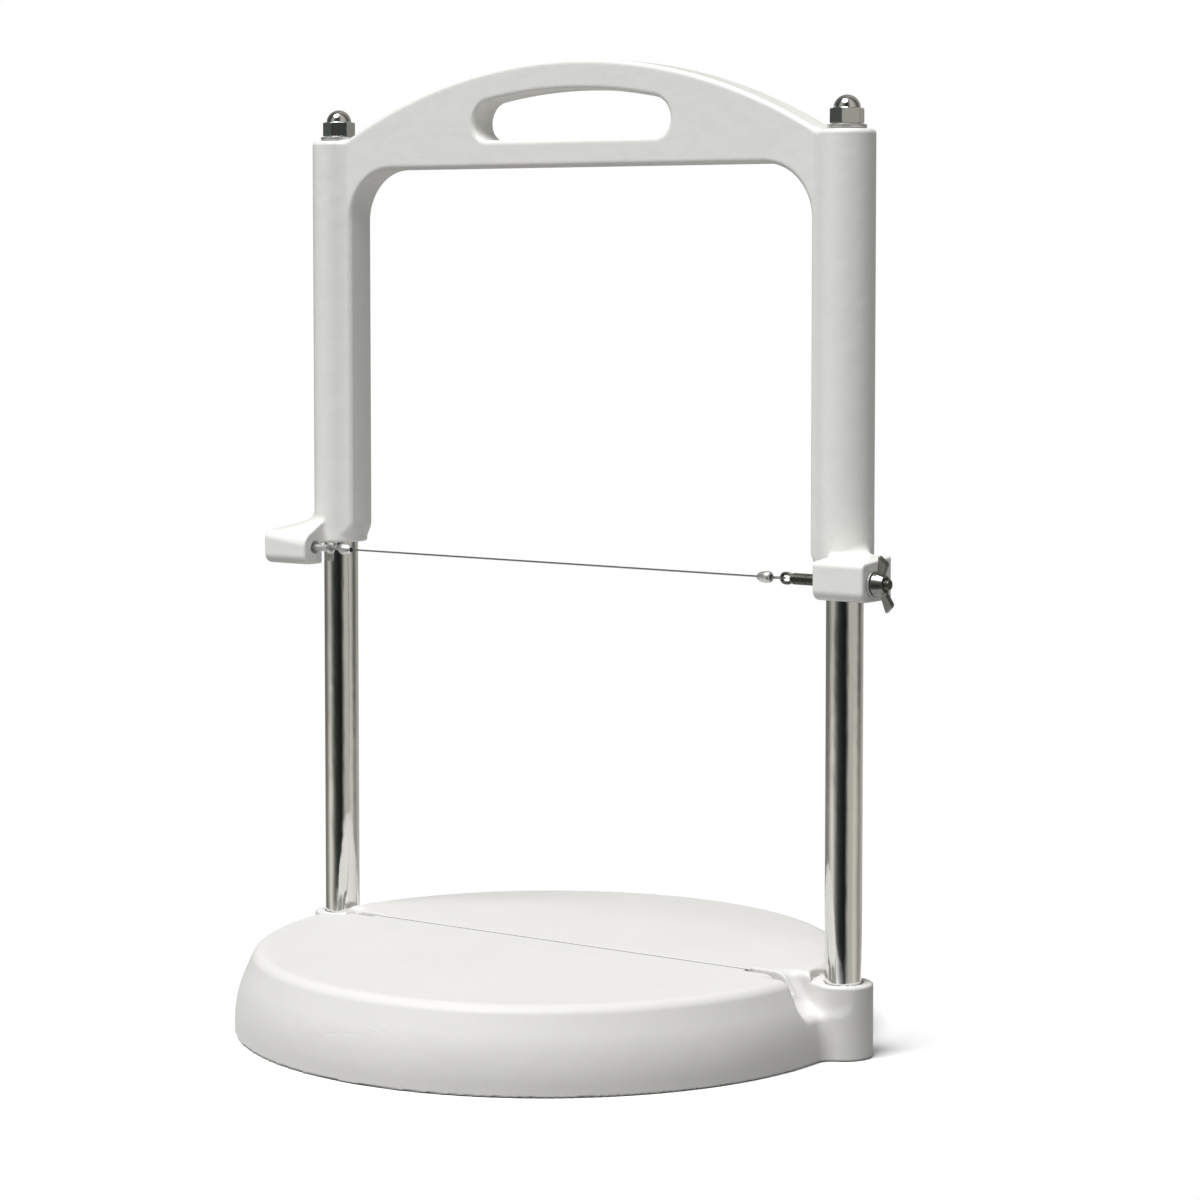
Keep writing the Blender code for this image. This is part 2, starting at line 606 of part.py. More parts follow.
def ferrule_mesh(name, low_x, mirrored):
    """A crimped ferrule round both strands, its bore off centre to hold them."""
    bore = STRAND_SPACING / 2 + WIRE_RADIUS + SEAT_GAP
    edge = FERRULE_EDGE
    end = FERRULE_RADIUS - edge
    waist = FERRULE_RADIUS - FERRULE_CRIMP
    length = FERRULE_LENGTH
    profile = [(bore, 0.0), (end, 0.0), (FERRULE_RADIUS, edge), (waist, length / 2),
               (FERRULE_RADIUS, length - edge), (end, length), (bore, length)]
    mesh = turned(name, profile, FERRULE_STEPS, hollow=True)
    return place_points(mesh, (low_x, -WIRE_FORWARD - STRAND_SPACING / 2, WIRE_HEIGHT), along_x=True,
                        mirrored=mirrored)


def eased_corner(before, corner, after, size):
    """The two points that cut a corner back by size along both its sides."""
    ends = []
    for other in (before, after):
        reach = math.dist(corner, other)
        ends.append(tuple(c + (o - c) * size / reach for c, o in zip(corner, other)))
    return ends


def wing_mesh(name, side):
    """One wing in the XZ plane: a plate that leans outwards from the hub to a slanting squared tip."""
    root = SCREW_RADIUS + RUNNING_GAP
    tip = WING_SPAN / 2
    low_root, high_root = (HUB_BAND, root), (WING_ROOT_HEIGHT, root)
    low, high = (WING_TIP_LOW, tip), (WING_TIP_HIGH, tip - WING_TIP_INSET)
    outline = [low_root] + eased_corner(low_root, low, high, WING_CORNER)
    outline += eased_corner(low, high, high_root, WING_CORNER) + [high_root]
    half = WING_THICKNESS / 2
    return rings_mesh(name, [[(x, y, side * z) for x, z in outline] for y in (-half, half)])


def make_wing_nut(surface, foot_x):
    """The wing nut on the screw's outer end, its origin on the screw's axis."""
    hub = [(HUB_RADIUS, 0.0), (HUB_RADIUS, HUB_BAND), (HUB_TIP_RADIUS, HUB_HEIGHT)]
    body = place_points(turned("hub", hub, SMALL_STEPS), along_x=True)
    body = combined("winged", body, [wing_mesh("wing", 1), wing_mesh("wing", -1)], 'UNION')
    bore_radius = SCREW_RADIUS + RUNNING_GAP
    bore = turned("bore", [(bore_radius, -HUB_HEIGHT), (bore_radius, 2 * HUB_HEIGHT)], SMALL_STEPS)
    body = combined("wing_nut", body, [place_points(bore, along_x=True)], 'DIFFERENCE')
    nut = add_object("wing_nut", place_points(body, turn_x=WING_TILT), surface)
    nut.location = (foot_x, -WIRE_FORWARD, WIRE_HEIGHT)
    return nut


def make_posts(steel, spring_steel):
    """Each side's post, guide rod, return spring and the nuts and washers on the rod."""
    for side, word, turn in ((-1, "left", LEFT_ACORN_TURN), (1, "right", RIGHT_ACORN_TURN)):
        at = (side * POST_X, 0.0, 0.0)

        def add(label, mesh, surface):
            add_object(f"{word}_{label}", place_points(mesh, at), surface)
        post = [(POST_BORE_RADIUS, POST_FOOT), (POST_RADIUS, POST_FOOT),
                (POST_RADIUS, POST_TOP - POST_EDGE), (POST_RADIUS - POST_EDGE, POST_TOP),
                (POST_BORE_RADIUS, POST_TOP)]
        add("post", turned("post", post, hollow=True), steel)
        rod = [(ROD_RADIUS - POST_EDGE, ROD_FOOT), (ROD_RADIUS, ROD_FOOT + POST_EDGE),
               (ROD_RADIUS, ROD_TOP - POST_EDGE), (ROD_RADIUS - POST_EDGE, ROD_TOP)]
        add("guide_rod", turned("rod", rod, SMALL_STEPS), steel)
        spring_outer = SPRING_RADIUS + SPRING_WIRE / 2
        spring_inner = SPRING_RADIUS - SPRING_WIRE / 2
        spring = tube("spring", spring_outer, spring_inner, POST_FOOT, FLANGE_UNDER - SEAT_GAP, SMALL_STEPS)
        add("return_spring", spring, spring_steel)
        rod_bore = ROD_RADIUS + SEAT_GAP
        under_washer = NUT_RECESS_DEPTH - SEAT_GAP - WASHER_THICKNESS
        for label, foot in (("foot_washer", under_washer), ("stop_washer", STOP_WASHER_FOOT)):
            washer = tube("washer", WASHER_RADIUS, rod_bore, foot, foot + WASHER_THICKNESS, SMALL_STEPS)
            add(label, washer, steel)
        add("foot_nut", hex_nut("nut", under_washer - SEAT_GAP - NUT_HEIGHT), steel)
        add("acorn_nut", acorn_nut("acorn", ACORN_FOOT + SEAT_GAP, turn), steel)


def make_bushes(nylon):
    """The plastic bushes in each sleeve's mouth and crown."""
    for side, word in ((-1, "left"), (1, "right")):
        at = (side * POST_X, 0.0, 0.0)
        foot = SLEEVE_FOOT + SEAT_GAP
        mouth = tube("mouth_bush", MOUTH_BUSH_RADIUS, POST_RADIUS + RUNNING_GAP, foot,
                     foot + MOUTH_BUSH_LENGTH)
        add_object(f"{word}_mouth_bush", place_points(mouth, at), nylon)
        inner = ROD_RADIUS + RUNNING_GAP
        flange_top = FLANGE_UNDER + TOP_BUSH_FLANGE
        profile = [(inner, FLANGE_UNDER), (TOP_BUSH_FLANGE_RADIUS, FLANGE_UNDER),
                   (TOP_BUSH_FLANGE_RADIUS, flange_top), (TOP_BUSH_RADIUS, flange_top),
                   (TOP_BUSH_RADIUS, SLEEVE_TOP - SEAT_GAP), (inner, SLEEVE_TOP - SEAT_GAP)]
        crown = turned("crown_bush", profile, SMALL_STEPS, hollow=True)
        add_object(f"{word}_crown_bush", place_points(crown, at), nylon)


def make_wire(wire_steel, steel):
    """The cutting wire, its loops and ferrules, the anchor eye on the left and the screw on the right."""
    reach = EYE_WIRE_RADIUS + WIRE_RADIUS + RUNNING_GAP
    anchor_bar = LUG_INNER_X - ANCHOR_EYE_OUT - EYE_RADIUS
    screw_bar = SCREW_SHANK_X - 2 * EYE_RADIUS - EYE_STRAIGHT
    left_tip = anchor_bar + reach
    right_tip = screw_bar + reach
    left = loop_points(left_tip, -1)
    right = loop_points(right_tip, 1)
    wire = curve_tube("cutting_wire", left + right[::-1], WIRE_RADIUS)
    add_object("cutting_wire", wire, wire_steel)
    for word, tip, mirrored in (("left", left_tip, True), ("right", right_tip, False)):
        low = tip - LOOP_LENGTH - SEAT_GAP - FERRULE_LENGTH
        add_object(f"{word}_ferrule", ferrule_mesh("ferrule", low, mirrored), steel)
    axis = (0.0, -WIRE_FORWARD, WIRE_HEIGHT)
    eye_end = anchor_bar + 2 * EYE_RADIUS
    shank_end = LUG_INNER_X + ANCHOR_SHANK_DEPTH
    shank = [(EYE_WIRE_RADIUS, eye_end), (ANCHOR_SHANK_RADIUS, eye_end + EYE_WIRE_RADIUS),
             (ANCHOR_SHANK_RADIUS, shank_end - SCREW_CHAMFER),
             (ANCHOR_SHANK_RADIUS - SCREW_CHAMFER, shank_end)]
    anchor = place_points(turned("shank", shank, SMALL_STEPS), axis, along_x=True)
    anchor = combined("anchor", anchor, [eye_ring("eye", anchor_bar, 0.0)], 'UNION')
    add_object("wire_anchor", place_points(anchor, mirrored=True), steel)
    eye_end = screw_bar + 2 * EYE_RADIUS + EYE_STRAIGHT
    screw_end = LUG_OUTER_X + SCREW_PROUD
    shoulder = eye_end + EYE_WIRE_RADIUS
    shank = [(EYE_WIRE_RADIUS, eye_end), (SCREW_RADIUS - SCREW_CHAMFER, shoulder),
             (SCREW_RADIUS, shoulder + SCREW_CHAMFER), (SCREW_RADIUS, screw_end - SCREW_CHAMFER),
             (SCREW_RADIUS - SCREW_CHAMFER, screw_end)]
    screw = place_points(turned("shank", shank, SMALL_STEPS), axis, along_x=True)
    screw = combined("tension_screw", screw, [eye_ring("eye", screw_bar, EYE_STRAIGHT)], 'UNION')
    add_object("tension_screw", screw, steel)
    washer_foot = LUG_OUTER_X + SEAT_GAP
    washer = tube("wing_washer", WING_WASHER_RADIUS, SCREW_RADIUS + RUNNING_GAP, washer_foot,
                  washer_foot + WING_WASHER_THICKNESS, SMALL_STEPS)
    add_object("wing_washer", place_points(washer, axis, along_x=True), steel)
    make_wing_nut(steel, washer_foot + WING_WASHER_THICKNESS + SEAT_GAP)


def main():
    for old in list(bpy.data.objects):
        bpy.data.objects.remove(old)
    white_plastic = material("white_polyethylene", (0.88, 0.88, 0.87), 0.42)
    enamel = material("white_enamel", (0.80, 0.80, 0.79), 0.16)
    steel = material("polished_steel", (0.70, 0.70, 0.68), 0.12, 1.0)
    wire_steel = material("wire_steel", (0.42, 0.42, 0.42), 0.3, 1.0)
    spring_steel = material("spring_steel", (0.35, 0.36, 0.37), 0.3, 1.0)
    nylon = material("natural_nylon", (0.75, 0.74, 0.68), 0.5)
    make_board(white_plastic)
    make_frame(enamel)
    make_posts(steel, spring_steel)
    make_bushes(nylon)
    make_wire(wire_steel, steel)


main()
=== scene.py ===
"""Wire cheese cutter: the finished surfaces of its board, sprung arch frame, posts and cutting wire.

Laid out as a Blender add-on and run as a script. Metres, +Z up; the board stands on z = 0, the posts
stand at x = +-POST_X, and the user is on the -Y side.
"""
import math

import bpy
import numpy as np
from bpy.props import FloatProperty, FloatVectorProperty, IntProperty, PointerProperty
from mathutils import Matrix, Vector


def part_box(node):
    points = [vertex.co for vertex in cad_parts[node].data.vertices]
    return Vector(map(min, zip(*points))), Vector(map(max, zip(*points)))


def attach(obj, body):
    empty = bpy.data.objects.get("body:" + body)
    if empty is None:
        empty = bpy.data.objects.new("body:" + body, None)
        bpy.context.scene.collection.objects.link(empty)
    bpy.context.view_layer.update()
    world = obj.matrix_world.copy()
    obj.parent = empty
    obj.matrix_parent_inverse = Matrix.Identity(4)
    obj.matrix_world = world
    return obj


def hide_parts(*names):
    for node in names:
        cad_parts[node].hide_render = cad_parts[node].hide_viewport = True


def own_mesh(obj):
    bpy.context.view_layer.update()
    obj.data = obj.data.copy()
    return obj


bl_info = {
    "name": "Wire Cheese Cutter",
    "version": (1, 0, 0),
    "blender": (4, 5, 0),
    "location": "3D View > Sidebar > Cheese Cutter",
    "description": "Makes the finished surfaces of a wire cheese cutter around its solids",
    "category": "Object",
}

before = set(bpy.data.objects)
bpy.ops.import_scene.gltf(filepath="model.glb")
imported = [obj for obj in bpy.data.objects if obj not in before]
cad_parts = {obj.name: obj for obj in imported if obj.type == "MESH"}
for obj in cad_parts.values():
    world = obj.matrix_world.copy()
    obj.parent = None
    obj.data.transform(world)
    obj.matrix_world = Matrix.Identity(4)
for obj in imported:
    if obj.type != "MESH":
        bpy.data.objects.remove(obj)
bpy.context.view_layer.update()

# Places that match the solids
POST_X = 0.140
BOARD_FORWARD = 0.024
BOARD_RADIUS = math.hypot(POST_X, BOARD_FORWARD) - 0.0025
BOARD_TOP = 0.036
BOSS_TOP = 0.0322
BOSS_RADIUS = 0.013
SLEEVE_RADIUS = 0.0124
LANDING_RADIUS = 0.0138
SLEEVE_FOOT = 0.208
SLEEVE_TOP = 0.396
ARCH_TOP = 0.4295
ARCH_RISE = ARCH_TOP - SLEEVE_TOP
ARCH_RADIUS = ((POST_X - 0.0105) ** 2 + ARCH_RISE ** 2) / (2 * ARCH_RISE)
WIRE_Y = -0.0185
WIRE_Z = 0.206
LUG_INNER = POST_X
LUG_OUTER = POST_X + 0.025
CROWN_UNDER = 0.3905
SPRING_FOOT = 0.0143
SPRING_TOP = 0.3887
SIDES = ((-1, "left"), (1, "right"))
ACORN_TURNS = {"left": -21.0, "right": -15.0}
NUT_HEIGHT = 0.0065
NUT_HALF_FLATS = 0.0065
NUT_FACE = 0.0069
NUT_BORE = 0.0043
WING_FOOT = 0.1666
WHITE = (1.0, 1.0, 1.0, 1.0)


# ---- properties

def number(name, description, default, **more):
    """A plain number, an angle or a share."""
    return FloatProperty(name=name, description=description, default=default, **more)


def length(name, description, default):
    """A size in metres."""
    return number(name, description, default, unit='LENGTH', precision=4)


def colour(name, bearer, *tone):
    """An opaque colour."""
    return FloatVectorProperty(name=name, description=f"Colour of the {bearer}", subtype='COLOR', size=4,
                               default=(*tone, 1.0), min=0, max=1)


class CutterSizes(bpy.types.PropertyGroup):
    """The sizes that a user would change."""
    board_foot_edge: length("Board foot edge", "Rounding of the board's lower edge", 0.0006)
    board_shoulder: length("Board shoulder", "Radius between the wall and its slope", 0.048)
    board_top_edge: length("Board top edge", "Rounding of the board's top edge", 0.0034)
    boss_fillet: length("Boss fillet", "Fillet between the board's wall and its bosses", 0.006)
    frame_edge: length("Frame edge", "Rounding of the arch plate's edges", 0.0022)
    cast_fillet: length("Cast fillet", "Fillet between the plate and the sleeves", 0.0028)
    lug_fillet: length("Lug fillet", "Fillet between the lugs and the sleeves", 0.005)
    post_radius: length("Post radius", "Outer radius of the posts", 0.008)
    spring_wire: length("Spring wire", "Diameter of the return springs' wire", 0.0012)
    spring_turns: IntProperty(name="Spring turns", description="Turns of each return spring", default=62)
    thread_pitch: length("Thread pitch", "Pitch of the tension screw's thread", 0.0008)
    wing_span: length("Wing span", "Distance across the wing nut's wings", 0.0264)


class CutterColours(bpy.types.PropertyGroup):
    """The colours that a user would change. Each steel's has its material's name."""
    plastic: colour("Board plastic", "moulded board", 0.695, 0.688, 0.668)
    enamel: colour("Frame enamel", "cast frame's enamel", 0.86, 0.855, 0.823)
    nylon: colour("Nylon", "sleeves' bushes", 0.70, 0.68, 0.62)
    polished_post_steel: colour("Post steel", "posts", 0.80, 0.80, 0.78)
    polished_nut_steel: colour("Nut steel", "domed nuts", 0.74, 0.74, 0.72)
    plated_steel: colour("Plated steel", "washers, rods and ferrules", 0.66, 0.66, 0.64)
    threaded_steel: colour("Screw steel", "tension screw", 0.13, 0.13, 0.12)
    spring_steel: colour("Spring steel", "return springs", 0.30, 0.30, 0.29)
    cast_nut_steel: colour("Wing nut steel", "wing nut", 0.21, 0.21, 0.20)
    cutting_wire_steel: colour("Wire steel", "cutting wire", 0.26, 0.26, 0.26)


class StageSettings(bpy.types.PropertyGroup):
    """The light and the camera."""
    lens: number("Lens", "Focal length of the camera, in millimetres", 103.7)
    azimuth: number("Azimuth", "Camera's angle round the object", 0.6269, subtype='ANGLE')
    elevation: number("Elevation", "Camera's angle above the horizon", 0.0658, subtype='ANGLE')
    distance: length("Distance", "From the camera to the point that it looks at", 1.5443)
    aim: FloatVectorProperty(name="Aim", description="The point that the camera looks at", subtype='XYZ',
                             unit='LENGTH', default=(0.01126, 0.0, 0.24247), precision=4)
    rise: number("Rise", "How far the picture is slid down on its plane, as a share", -0.1, precision=4)
    key: number("Key light", "Strength of the soft light from above the user's side", 3.6)
    surround: number("Surround", "Strength of the even light all round", 0.28)
    floor_grey: number("Floor bounce", "How much light the floor gives back", 0.26, min=0, max=1)


# ---- distance formulas

def rounded_both(first, second, radius):
    """The space inside both shapes, its edge rounded: past the inner corner, the distance to that corner."""
    a, b = first + radius, second + radius
    return np.minimum(np.maximum(a, b), 0) + np.hypot(np.maximum(a, 0), np.maximum(b, 0)) - radius


def filleted_join(first, second, radius):
    """Both shapes joined with a round fillet: radius less the distance to the fillet's own centre line."""
    a, b = np.maximum(radius - first, 0), np.maximum(radius - second, 0)
    return np.maximum(radius, np.minimum(first, second)) - np.hypot(a, b)


def cut(shape, *holes):
    """A shape less its holes: the larger of its distance and each hole's distance turned inside out."""
    for hole in holes:
        shape = np.maximum(shape, -hole)
    return shape


def slab(value, low, high):
    """Between two parallel planes: how far a coordinate lies beyond the nearer one."""
    return np.abs(value - (low + high) / 2) - (high - low) / 2


def post_ring(x, y, radius):
    """A round bar about either post's axis: distance from the axis less the radius."""
    return np.hypot(np.abs(x) - POST_X, y) - radius


def well(x, y, z, radius, floor=-1.0, top=1.0):
    """A round hole about either post's axis, between a floor and a top."""
    return np.maximum(post_ring(x, y, radius), np.maximum(floor - z, z - top))


def board_formula(sizes):
    """The board: a disc with an upright wall, a shoulder that slopes in and a rounded top edge, with two
    bosses, a wire groove, a pocket for each lug, a landing for each sleeve and a socket for each post."""
    wall_height, draw = 0.0152, 0.0094
    groove_half, groove_floor = 0.0012, 0.0275
    channel_half, channel_end = 0.0035, 0.1033
    pocket_front, pocket_back, pocket_end, pocket_floor = -0.0273, -0.0097, 0.1240, 0.020
    lean_out, lean_up, lean_level = 0.82, 0.57, 0.0280
    slope = math.atan2(draw, BOARD_TOP - wall_height)
    ease = sizes.board_shoulder

    def distance(x, y, z):
        wide, out = np.abs(x), np.hypot(x, y + BOARD_FORWARD)
        shoulder = (out - BOARD_RADIUS) * math.cos(slope) + (z - wall_height) * math.sin(slope)
        along, up = out - BOARD_RADIUS + ease, z - wall_height + ease * math.tan(slope / 2)
        turning = (up > 0) & (up * math.cos(slope) < along * math.sin(slope))
        wall = np.where(turning, np.hypot(along, up) - ease, np.maximum(out - BOARD_RADIUS, shoulder))
        disc = rounded_both(wall, z - BOARD_TOP, sizes.board_top_edge)
        boss = rounded_both(post_ring(x, y, BOSS_RADIUS), z - BOSS_TOP, 0.0012)
        body = filleted_join(disc, boss, sizes.boss_fillet)
        inner_end = (pocket_end - wide) * lean_out + (lean_level - z) * lean_up
        pocket = rounded_both(slab(y, pocket_front, pocket_back), inner_end, 0.0035)
        pocket = rounded_both(pocket, pocket_floor - z, 0.0050)
        pocket = rounded_both(pocket, -post_ring(x, y, BOSS_RADIUS), 0.0026)
        beside = slab(y, WIRE_Y - channel_half, WIRE_Y + channel_half)
        channel = np.maximum(rounded_both(beside, channel_end - wide, 0.0015), groove_floor - z)
        groove = np.maximum(np.abs(y - WIRE_Y) - groove_half, groove_floor - z)
        body = rounded_both(rounded_both(body, -pocket, 0.0030), -channel, 0.0008)
        body = rounded_both(cut(body, groove), -z, sizes.board_foot_edge)
        landing = well(x, y, z, LANDING_RADIUS, floor=BOSS_TOP)
        socket = well(x, y, z, 0.0083, floor=0.014)
        recess = well(x, y, z, 0.0095, top=0.010)
        rod_hole = post_ring(x, y, 0.0044)
        return cut(rounded_both(body, -landing, 0.0014), socket, rod_hole, recess)
    return distance


def lug_formula(x, y, z):
    """A lug: a block about the wire's line between a flat foot, an upright front with rounded edges and a
    top plane. The left lug's top climbs backwards and falls away outwards; the right lug, which carries the
    wing nut, has a nearly level top and a taller front."""
    half, right_top, right_slope = 0.0079, 0.0093, 0.09
    wide = np.abs(x)
    back_top = 0.215 + 0.30 * (LUG_OUTER - wide)
    slope = np.where(x > 0, right_slope, np.arctan2(back_top - WIRE_Z - half, 0.0155))
    across, up = y - WIRE_Y, z - WIRE_Z
    top = -np.sin(slope) * across + np.cos(slope) * up - np.where(x > 0, right_top, half)
    section = rounded_both(top, -across - half, np.where(x > 0, 0.0022, 0.0036))
    section = rounded_both(section, -up - half, 0.0046)
    section = rounded_both(section, y + 0.003, 0.0009)
    return rounded_both(section, slab(wide, LUG_INNER, LUG_OUTER), 0.0011)


def frame_formula(sizes):
    """The cast frame: an upright plate with an arched top, a window and a hand slot, joined by fillets to
    two round sleeves and two lugs, then bored for the bushes, the rods, the screw and the anchor."""
    leg_inner, window_top, window_corner = POST_X - 0.0131, 0.382, 0.024
    slot_half, slot_foot, slot_rim, slot_corner = 0.054, 0.3945, 0.0135, 0.0075
    plate_half, plate_foot, toe = 0.008, SLEEVE_FOOT + 0.0035, 0.006
    middle = ARCH_TOP - ARCH_RADIUS

    def plate(x, y, z):
        wide = np.abs(x)
        beyond_arch = np.hypot(x, z - middle) - ARCH_RADIUS
        window = rounded_both(wide - leg_inner, z - window_top, window_corner)
        slot = rounded_both(wide - slot_half, slot_foot - z, slot_corner)
        slot = rounded_both(slot, beyond_arch + slot_rim, slot_corner)
        outline = cut(np.maximum(beyond_arch, wide - POST_X), slot)
        outline = rounded_both(outline, plate_foot - z, 0.0001)
        outline = rounded_both(outline, -window, 0.0001)
        outline = np.maximum(outline, rounded_both(-window, plate_foot - z, toe))
        return rounded_both(outline, np.abs(y) - plate_half, sizes.frame_edge)

    def distance(x, y, z):
        flat = plate(x, y, z)
        sleeve = rounded_both(post_ring(x, y, SLEEVE_RADIUS), z - SLEEVE_TOP, 0.0022)
        sleeve = rounded_both(sleeve, SLEEVE_FOOT - z, 0.0012)
        body = filleted_join(flat, sleeve, sizes.cast_fillet)
        lug = cut(lug_formula(x, y, z), well(x, y, z, 0.0136, top=SLEEVE_FOOT))
        behind = np.clip((y + 0.014) / 0.010, 0, 1)
        body = filleted_join(body, lug, sizes.lug_fillet * (0.4 + 0.6 * behind * behind * (3 - 2 * behind)))
        body = np.where(z < SLEEVE_FOOT, np.maximum(body, np.minimum(lug, flat)), body)
        mouth = well(x, y, z, 0.0105, top=0.2286)
        bore = well(x, y, z, 0.0089, top=CROWN_UNDER)
        crown_hole = post_ring(x, y, 0.0069)
        reach = np.hypot(y - WIRE_Y, z - WIRE_Z)
        screw_hole = np.maximum(reach - 0.0028, -x)
        anchor_hole = np.maximum(np.maximum(reach - 0.0019, x), -0.1583 - x)
        anchor_mouth = np.maximum(np.maximum(reach - 0.0029, x), -0.1440 - x)
        return cut(body, mouth, bore, crown_hole, screw_hole, anchor_hole, anchor_mouth)
    return distance


def hexagon_nut(x, y, z, turn):
    """A hexagon that stands on z = 0: the farthest of its three pairs of flats, cut by a cone that eases
    the corners at each end."""
    flats = [x * math.cos(bearing) + y * math.sin(bearing) for bearing in np.radians((30, 90, 150)) + turn]
    across = np.maximum.reduce([np.abs(flat) for flat in flats]) - NUT_HALF_FLATS
    cone = (np.hypot(x, y) - NUT_FACE) * 0.5
    nut = rounded_both(across, slab(z, 0.0, NUT_HEIGHT), 0.0002)
    return np.maximum(nut, np.maximum(cone + (z - NUT_HEIGHT) * 0.866, cone + (0.0 - z) * 0.866))


def nut_formula(centre, foot, turn, domed):
    """A nut on a post's axis: the hexagon with a round bore through it. A domed one is joined to a half
    ball that stands on it, and its bore is blind."""
    ball_radius, ball_centre, ball_foot, bore_depth = 0.0058, 0.0064, 0.003, 0.0085

    def distance(x, y, z):
        x, height = x - centre, z - foot
        out = np.hypot(x, y)
        hexagon = hexagon_nut(x, y, height, turn)
        if not domed:
            return cut(hexagon, out - NUT_BORE)
        ball = np.hypot(out, np.maximum(height - ball_centre, 0)) - ball_radius
        body = filleted_join(hexagon, np.maximum(ball, ball_foot - height), 0.0004)
        return cut(body, np.maximum(out - NUT_BORE, height - bore_depth))
    return distance


def wing_nut_formula(span):
    """A wing nut on the screw's line: a coned hub joined by fillets to two wings. Each wing is a plate that
    leans outwards from the hub, thinner at its tip, its outline the space between sloping lines."""
    tilt, thick = math.radians(14.0), 0.0020
    hub_radius, hub_height, hub_taper, bore_radius = 0.0050, 0.0050, 0.26, 0.0028
    corners = ((0.0013, 0.0028), (0.0034, span / 2), (0.0078, span / 2 - 0.0040), (0.0046, 0.0028))

    def side_line(along, rise, start, end):
        """How far outside the line from start to end, with the wing on its right."""
        across, up = end[0] - start[0], end[1] - start[1]
        return ((rise - start[1]) * across - (along - start[0]) * up) / math.hypot(across, up)

    def distance(x, y, z):
        along, across, up = x - WING_FOOT, y - WIRE_Y, z - WIRE_Z
        side = across * math.cos(tilt) + up * math.sin(tilt)
        rise = np.abs(-across * math.sin(tilt) + up * math.cos(tilt))
        out = np.hypot(side, rise)
        cone = (out - hub_radius + hub_taper * along) * 0.968
        hub = rounded_both(cone, slab(along, 0.0, hub_height), 0.0003)
        low, tip, high = [side_line(along, rise, *ends) for ends in zip(corners, corners[1:])]
        outline = rounded_both(rounded_both(low, tip, 0.0012), high, 0.0012)
        wing = np.maximum(rounded_both(outline, np.abs(side) - thick / 2, 0.0007), 0.0015 - rise)
        return cut(np.maximum(filleted_join(hub, wing, 0.0009), -along), out - bore_radius)
    return distance


# ---- surfaces

def slope_of(distance, points, reach=2e-5):
    """The outward direction of a formula at points: its change over a short reach along each axis."""
    change = []
    for axis in range(3):
        step = np.zeros(3)
        step[axis] = reach
        ahead, behind = points + step, points - step
        change.append(distance(*ahead.T) - distance(*behind.T))
    change = np.stack(change, 1)
    return change / np.maximum(np.linalg.norm(change, axis=1), 1e-12)[:, None]


def crossings(distance, lines, inside, axis):
    """Where the grid's edges along one axis pass through the surface, found by halving each edge."""
    ahead, behind = [slice(None)] * 3, [slice(None)] * 3
    ahead[axis], behind[axis] = slice(1, None), slice(None, -1)
    place = np.argwhere(inside[tuple(ahead)] != inside[tuple(behind)])
    start = np.stack([lines[a][place[:, a]] for a in range(3)], 1)
    end = start.copy()
    end[:, axis] = lines[axis][place[:, axis] + 1]
    from_inside = inside[tuple(place.T)]
    low, high = np.where(from_inside[:, None], [start, end], [end, start])
    for _ in range(14):
        middle = (low + high) / 2
        within = (distance(*middle.T) < 0)[:, None]
        low, high = np.where(within, middle, low), np.where(within, high, middle)
    return place, (low + high) / 2, from_inside


